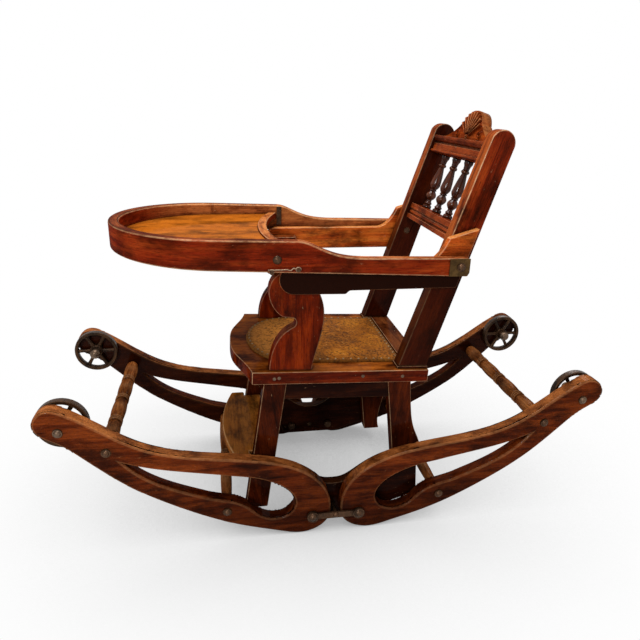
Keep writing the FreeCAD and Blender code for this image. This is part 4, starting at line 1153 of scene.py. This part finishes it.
# %% Seat cover
FIBRE_SIZE = (900.0, 900.0, 400.0)
FLECK_SIZE = (260.0, 260.0, 260.0)
STAIN_SIZE = (26.0, 26.0, 26.0)
STAINS = [(0.34, (0.115, 0.036, 0.003)), (0.52, (0.240, 0.072, 0.006)),
          (0.72, (0.380, 0.136, 0.013))]
FLECK_BROWN = (0.034, 0.015, 0.006)
FLECK_STRAW = (0.520, 0.270, 0.080)
FIBRE_BROWN = (0.080, 0.034, 0.012)
FRONT_STRAW = (0.560, 0.235, 0.050)
FRONT_BROWN = (0.090, 0.040, 0.012)
EDGE_BROWN = (0.060, 0.024, 0.006)
DARK_FLECKS = [(0.38, 0.90), (0.50, 0.0)]
PALE_FLECKS = [(0.62, 0.0), (0.72, 0.55)]
DARK_FIBRES = [(0.36, 0.45), (0.56, 0.0)]
FRONT_FLECKS = [(0.38, 0.7), (0.50, 0.0)]
FRONT_WEAR_AND_LIGHT = 0.6
EDGE_DARKENING = [(0.88, 0.0), (0.985, 0.65)]
DULL_STAINS = [(0.3, 0.55), (0.7, 0.8)]
FLECK_DEPTH = 0.0008
FIBRE_DEPTH = 0.0005

cover = Finish("seat_cover", Specular_IOR_Level=0.02)
place = cover.place()
fibre = cover.noise(place, FIBRE_SIZE, detail=4.0, rough=0.7)
flecks = cover.noise(place, FLECK_SIZE, detail=3.0, rough=0.6)
stains = cover.noise(place, STAIN_SIZE, detail=4.0, rough=0.6)
colour = cover.ramp(stains, STAINS)
colour = cover.mix(cover.ramp(flecks, DARK_FLECKS), colour, tone(*FLECK_BROWN))
colour = cover.mix(cover.ramp(flecks, PALE_FLECKS), colour, tone(*FLECK_STRAW))
colour = cover.mix(cover.ramp(fibre, DARK_FIBRES), colour, tone(*FIBRE_BROWN))
# The front is painted lighter: wear from legs, and painted light that lifts it out of the tray's
# shadow.
lit_and_rubbed_front = cover.mix(cover.ramp(flecks, FRONT_FLECKS), tone(*FRONT_STRAW),
                         tone(*FRONT_BROWN))
front = cover.rise(cover.along_axis("X"), 0.0, PAD_FRONT, FRONT_WEAR_AND_LIGHT)
colour = cover.mix(front, colour, lit_and_rubbed_front)
# The cover is darker towards its edge, along the tacks.
edge_darkening = cover.ramp(cover.stored("worn"), EDGE_DARKENING)
colour = cover.mix(edge_darkening, colour, tone(*EDGE_BROWN))
weave = cover.bump(fibre, FIBRE_DEPTH, cover.bump(flecks, FLECK_DEPTH))
cover.done(Base_Color=colour, Roughness=cover.ramp(stains, DULL_STAINS), Normal=weave)
seat_pad = settle("seat_pad", pad_mesh, cover.material, "chair",
                  stands_for=("seat_panel",))
print("padded piece", seat_pad.name)

# %% [markdown]
# Tacks and screws repeat one small dome many times. The dome's points are added to every place at
# once, which makes an array of heads by points by three numbers. The tacks are brass and follow
# the pad's edge; the screws are iron, in the sides of the seat board.

# %% Tacks and screw heads
DOME_RINGS = 4
TACK_RADIUS = 0.0016
TACK_HEIGHT = 0.0013
TACK_LEVEL = 0.80
SCREW_RADIUS = 0.0028
SCREW_HEIGHT = 0.0008
SCREW_FACE = 0.1258
SCREW_PLACES = [(-0.091, 0.2516), (-0.084, 0.2524), (0.040, 0.2488), (0.101, 0.2453)]


def dome_heads(places, outward, radius, height, steps):
    """Low round heads: radius falls as a cosine while height rises as a sine."""
    tilt = np.linspace(0.0, math.pi / 2, DOME_RINGS)[:, None]
    angle = np.linspace(0.0, math.tau, steps, endpoint=False)
    flat_x = radius * np.cos(tilt) * np.cos(angle)
    flat_y = radius * np.cos(tilt) * np.sin(angle)
    lift = np.repeat(height * np.sin(tilt), steps, 1)
    foot = np.zeros((1, steps, 3))
    dome = np.concatenate([foot, np.stack([flat_x, flat_y, lift], axis=-1)])
    outward = np.asarray(outward, dtype=float)
    first = unit(np.cross(outward, LENGTHWAYS))
    second = np.cross(outward, first)
    shell, faces = grid_shell(dome @ np.stack([first, second, outward]))
    many = (np.asarray(places)[:, None, :] + shell[None]).reshape(-1, 3)
    starts = np.arange(len(places))[:, None, None] * len(shell)
    return many, (faces[None] + starts).reshape(-1, 4)


tack_line = pad_middle + TACK_RING * (pad_outline(TACKS) - pad_middle)
tack_places = on_seat(tack_line, PAD_TOP * TACK_LEVEL)
tacks = dome_heads(tack_places, UPWARDS, TACK_RADIUS, TACK_HEIGHT, steps=10)
settle("seat_tacks", mesh_of("seat_tacks", *tacks), tack_brass, "chair")
for side_name, side in SIDES.items():
    spots = [(x, side * SCREW_FACE, z) for x, z in SCREW_PLACES]
    heads = dome_heads(spots, (0.0, side, 0.0), SCREW_RADIUS, SCREW_HEIGHT, steps=14)
    settle(f"seat_screws_{side_name}", mesh_of("screws", *heads), screw_iron, "chair")
print("tacks", TACKS, "screws", len(SIDES) * len(SCREW_PLACES))

# %% [markdown]
# Two wire hooks hold the tray down. Each is one wire, bent into an eye round its pin, then waved
# and drawn out straight to a point. The wire's path lies in one upright plane, so its
# cross-section is spanned by the plane's own normal and by the normal of the path within the
# plane.

# %% Tray hooks
HOOK_PIN = (-0.0615, 0.1544, 0.4216)
HOOK_EYE = 0.0030
HOOK_REACH = 0.0405
HOOK_WAVE = 0.0020
HOOK_WAVELENGTH = 0.30
HOOK_FADE = 0.26
EYE_POINTS = 40
SHANK_SHARES = np.linspace(0.02, 1.0, 60)
WIRE = 0.0008
WIRE_STEPS = 10
POINT_TAPER = np.linspace(0.9, 0.4, 5)


def hook_path():
    """Once round the eye, then forward with a wave that dies out, as X and height from the pin."""
    turn = np.linspace(-math.pi, math.pi, EYE_POINTS)
    eye = HOOK_EYE * np.stack([np.cos(turn), np.sin(turn)], axis=1)
    forward = HOOK_EYE + (HOOK_REACH - HOOK_EYE) * SHANK_SHARES
    wave = HOOK_WAVE * np.sin(math.tau * SHANK_SHARES / HOOK_WAVELENGTH)
    wave = wave * np.exp(-(SHANK_SHARES / HOOK_FADE) ** 2)
    return np.concatenate([eye, np.stack([-forward, wave], axis=1)])


def wire_shell(line, side):
    """A round wire: path + radius x (cosine x normal in the plane + sine x the plane's normal)."""
    along = np.gradient(line, axis=0)
    along /= np.linalg.norm(along, axis=1, keepdims=True)
    thick = np.full((len(line), 1), WIRE)
    thick[[0, -1]] = 0.0
    thick[-1 - len(POINT_TAPER):-1, 0] = WIRE * POINT_TAPER
    angle = np.linspace(0.0, math.tau, WIRE_STEPS, endpoint=False)
    x = HOOK_PIN[0] + line[:, :1] - along[:, 1:] * thick * np.cos(angle)
    y = side * HOOK_PIN[1] + thick * np.sin(angle)
    z = HOOK_PIN[2] + line[:, 1:] + along[:, :1] * thick * np.cos(angle)
    return grid_shell(np.stack([x, y, z], axis=-1))


for side_name, side in SIDES.items():
    node = f"tray_hook_{side_name}"
    mesh = mesh_of(node, *wire_shell(hook_path(), side))
    smooth(mesh)
    settle(f"{node}_wire", mesh, wire_iron, BODY_OF[node], stands_for=(node,))
print("hooks", len(SIDES))

# %% [markdown]
# Bolts, straps, plates and pins already have the right shape as solids, so they stay and only get
# a better finish in their slots.

# %% Finishes for the small solids
kept = {"tray_end_plates": plate_brass}
for node in ("pivot_bolts", "strap_rivets", "tray_pivot_bolts", "tray_studs", "tray_inner_irons",
             "tray_hook_pins"):
    kept[node] = bolt_iron
for side_name in SIDES:
    kept[f"link_strap_{side_name}"] = bolt_iron
for end_name in ENDS:
    kept[f"{end_name}_stretcher_bolts"] = bolt_iron
    kept[f"{end_name}_axles"] = screw_iron
for node, finish in kept.items():
    for holder in frame["nodes"][node].material_slots:
        holder.material = finish
print("kept solids", len(kept))

# %% [markdown]
# The floor is not part of the chair. To the light that bounces about it is a sheet of pale paper.
# To the camera it is clear, with the white world behind it, and only the chair's soft shadow
# darkens it: each spot is shaded by how much of the sky the chair hides from it. A solid sheet
# would do at rest, but it would hide the frames, which turn down past it when they are stood up
# while the seat keeps its height.

# %% Floor
FLOOR_HALF = 4.0
PAPER = (0.90, 0.90, 0.90, 1.0)
SHADE_REACH = 0.50
SHADE_SAMPLES = 16
SHADE_STOPS = [(0.15, 0.32), (0.60, 0.77), (0.96, 1.0)]

paper = Finish("floor_paper", Base_Color=PAPER, Roughness=0.9, Specular_IOR_Level=0.0)
rays = paper.add("LightPath", {}).outputs
darkening = paper.ramp(paper.open_sky(SHADE_REACH, SHADE_SAMPLES), SHADE_STOPS)
shade = paper.mix(rays["Is Camera Ray"], WHITE, darkening)
clear = paper.add("BsdfTransparent", {"Color": shade}).outputs[0]
straight = paper.maths("MAXIMUM", rays["Is Camera Ray"], rays["Is Shadow Ray"])
sheet = paper.add("MixShader", {0: straight, 1: paper.surface.outputs[0], 2: clear}).outputs[0]
paper.feed(paper.tree.nodes["Material Output"].inputs["Surface"], sheet)
sheet_corners = np.array([(-1, -1, 0), (1, -1, 0), (1, 1, 0), (-1, 1, 0)]) * FLOOR_HALF
floor_mesh = bpy.data.meshes.new("floor")
floor_mesh.from_pydata(sheet_corners, [], [(0, 1, 2, 3)])
floor_mesh.materials.append(paper.material)
floor = bpy.data.objects.new("floor", floor_mesh)
show(floor)
print("floor", 2 * FLOOR_HALF, "m across")
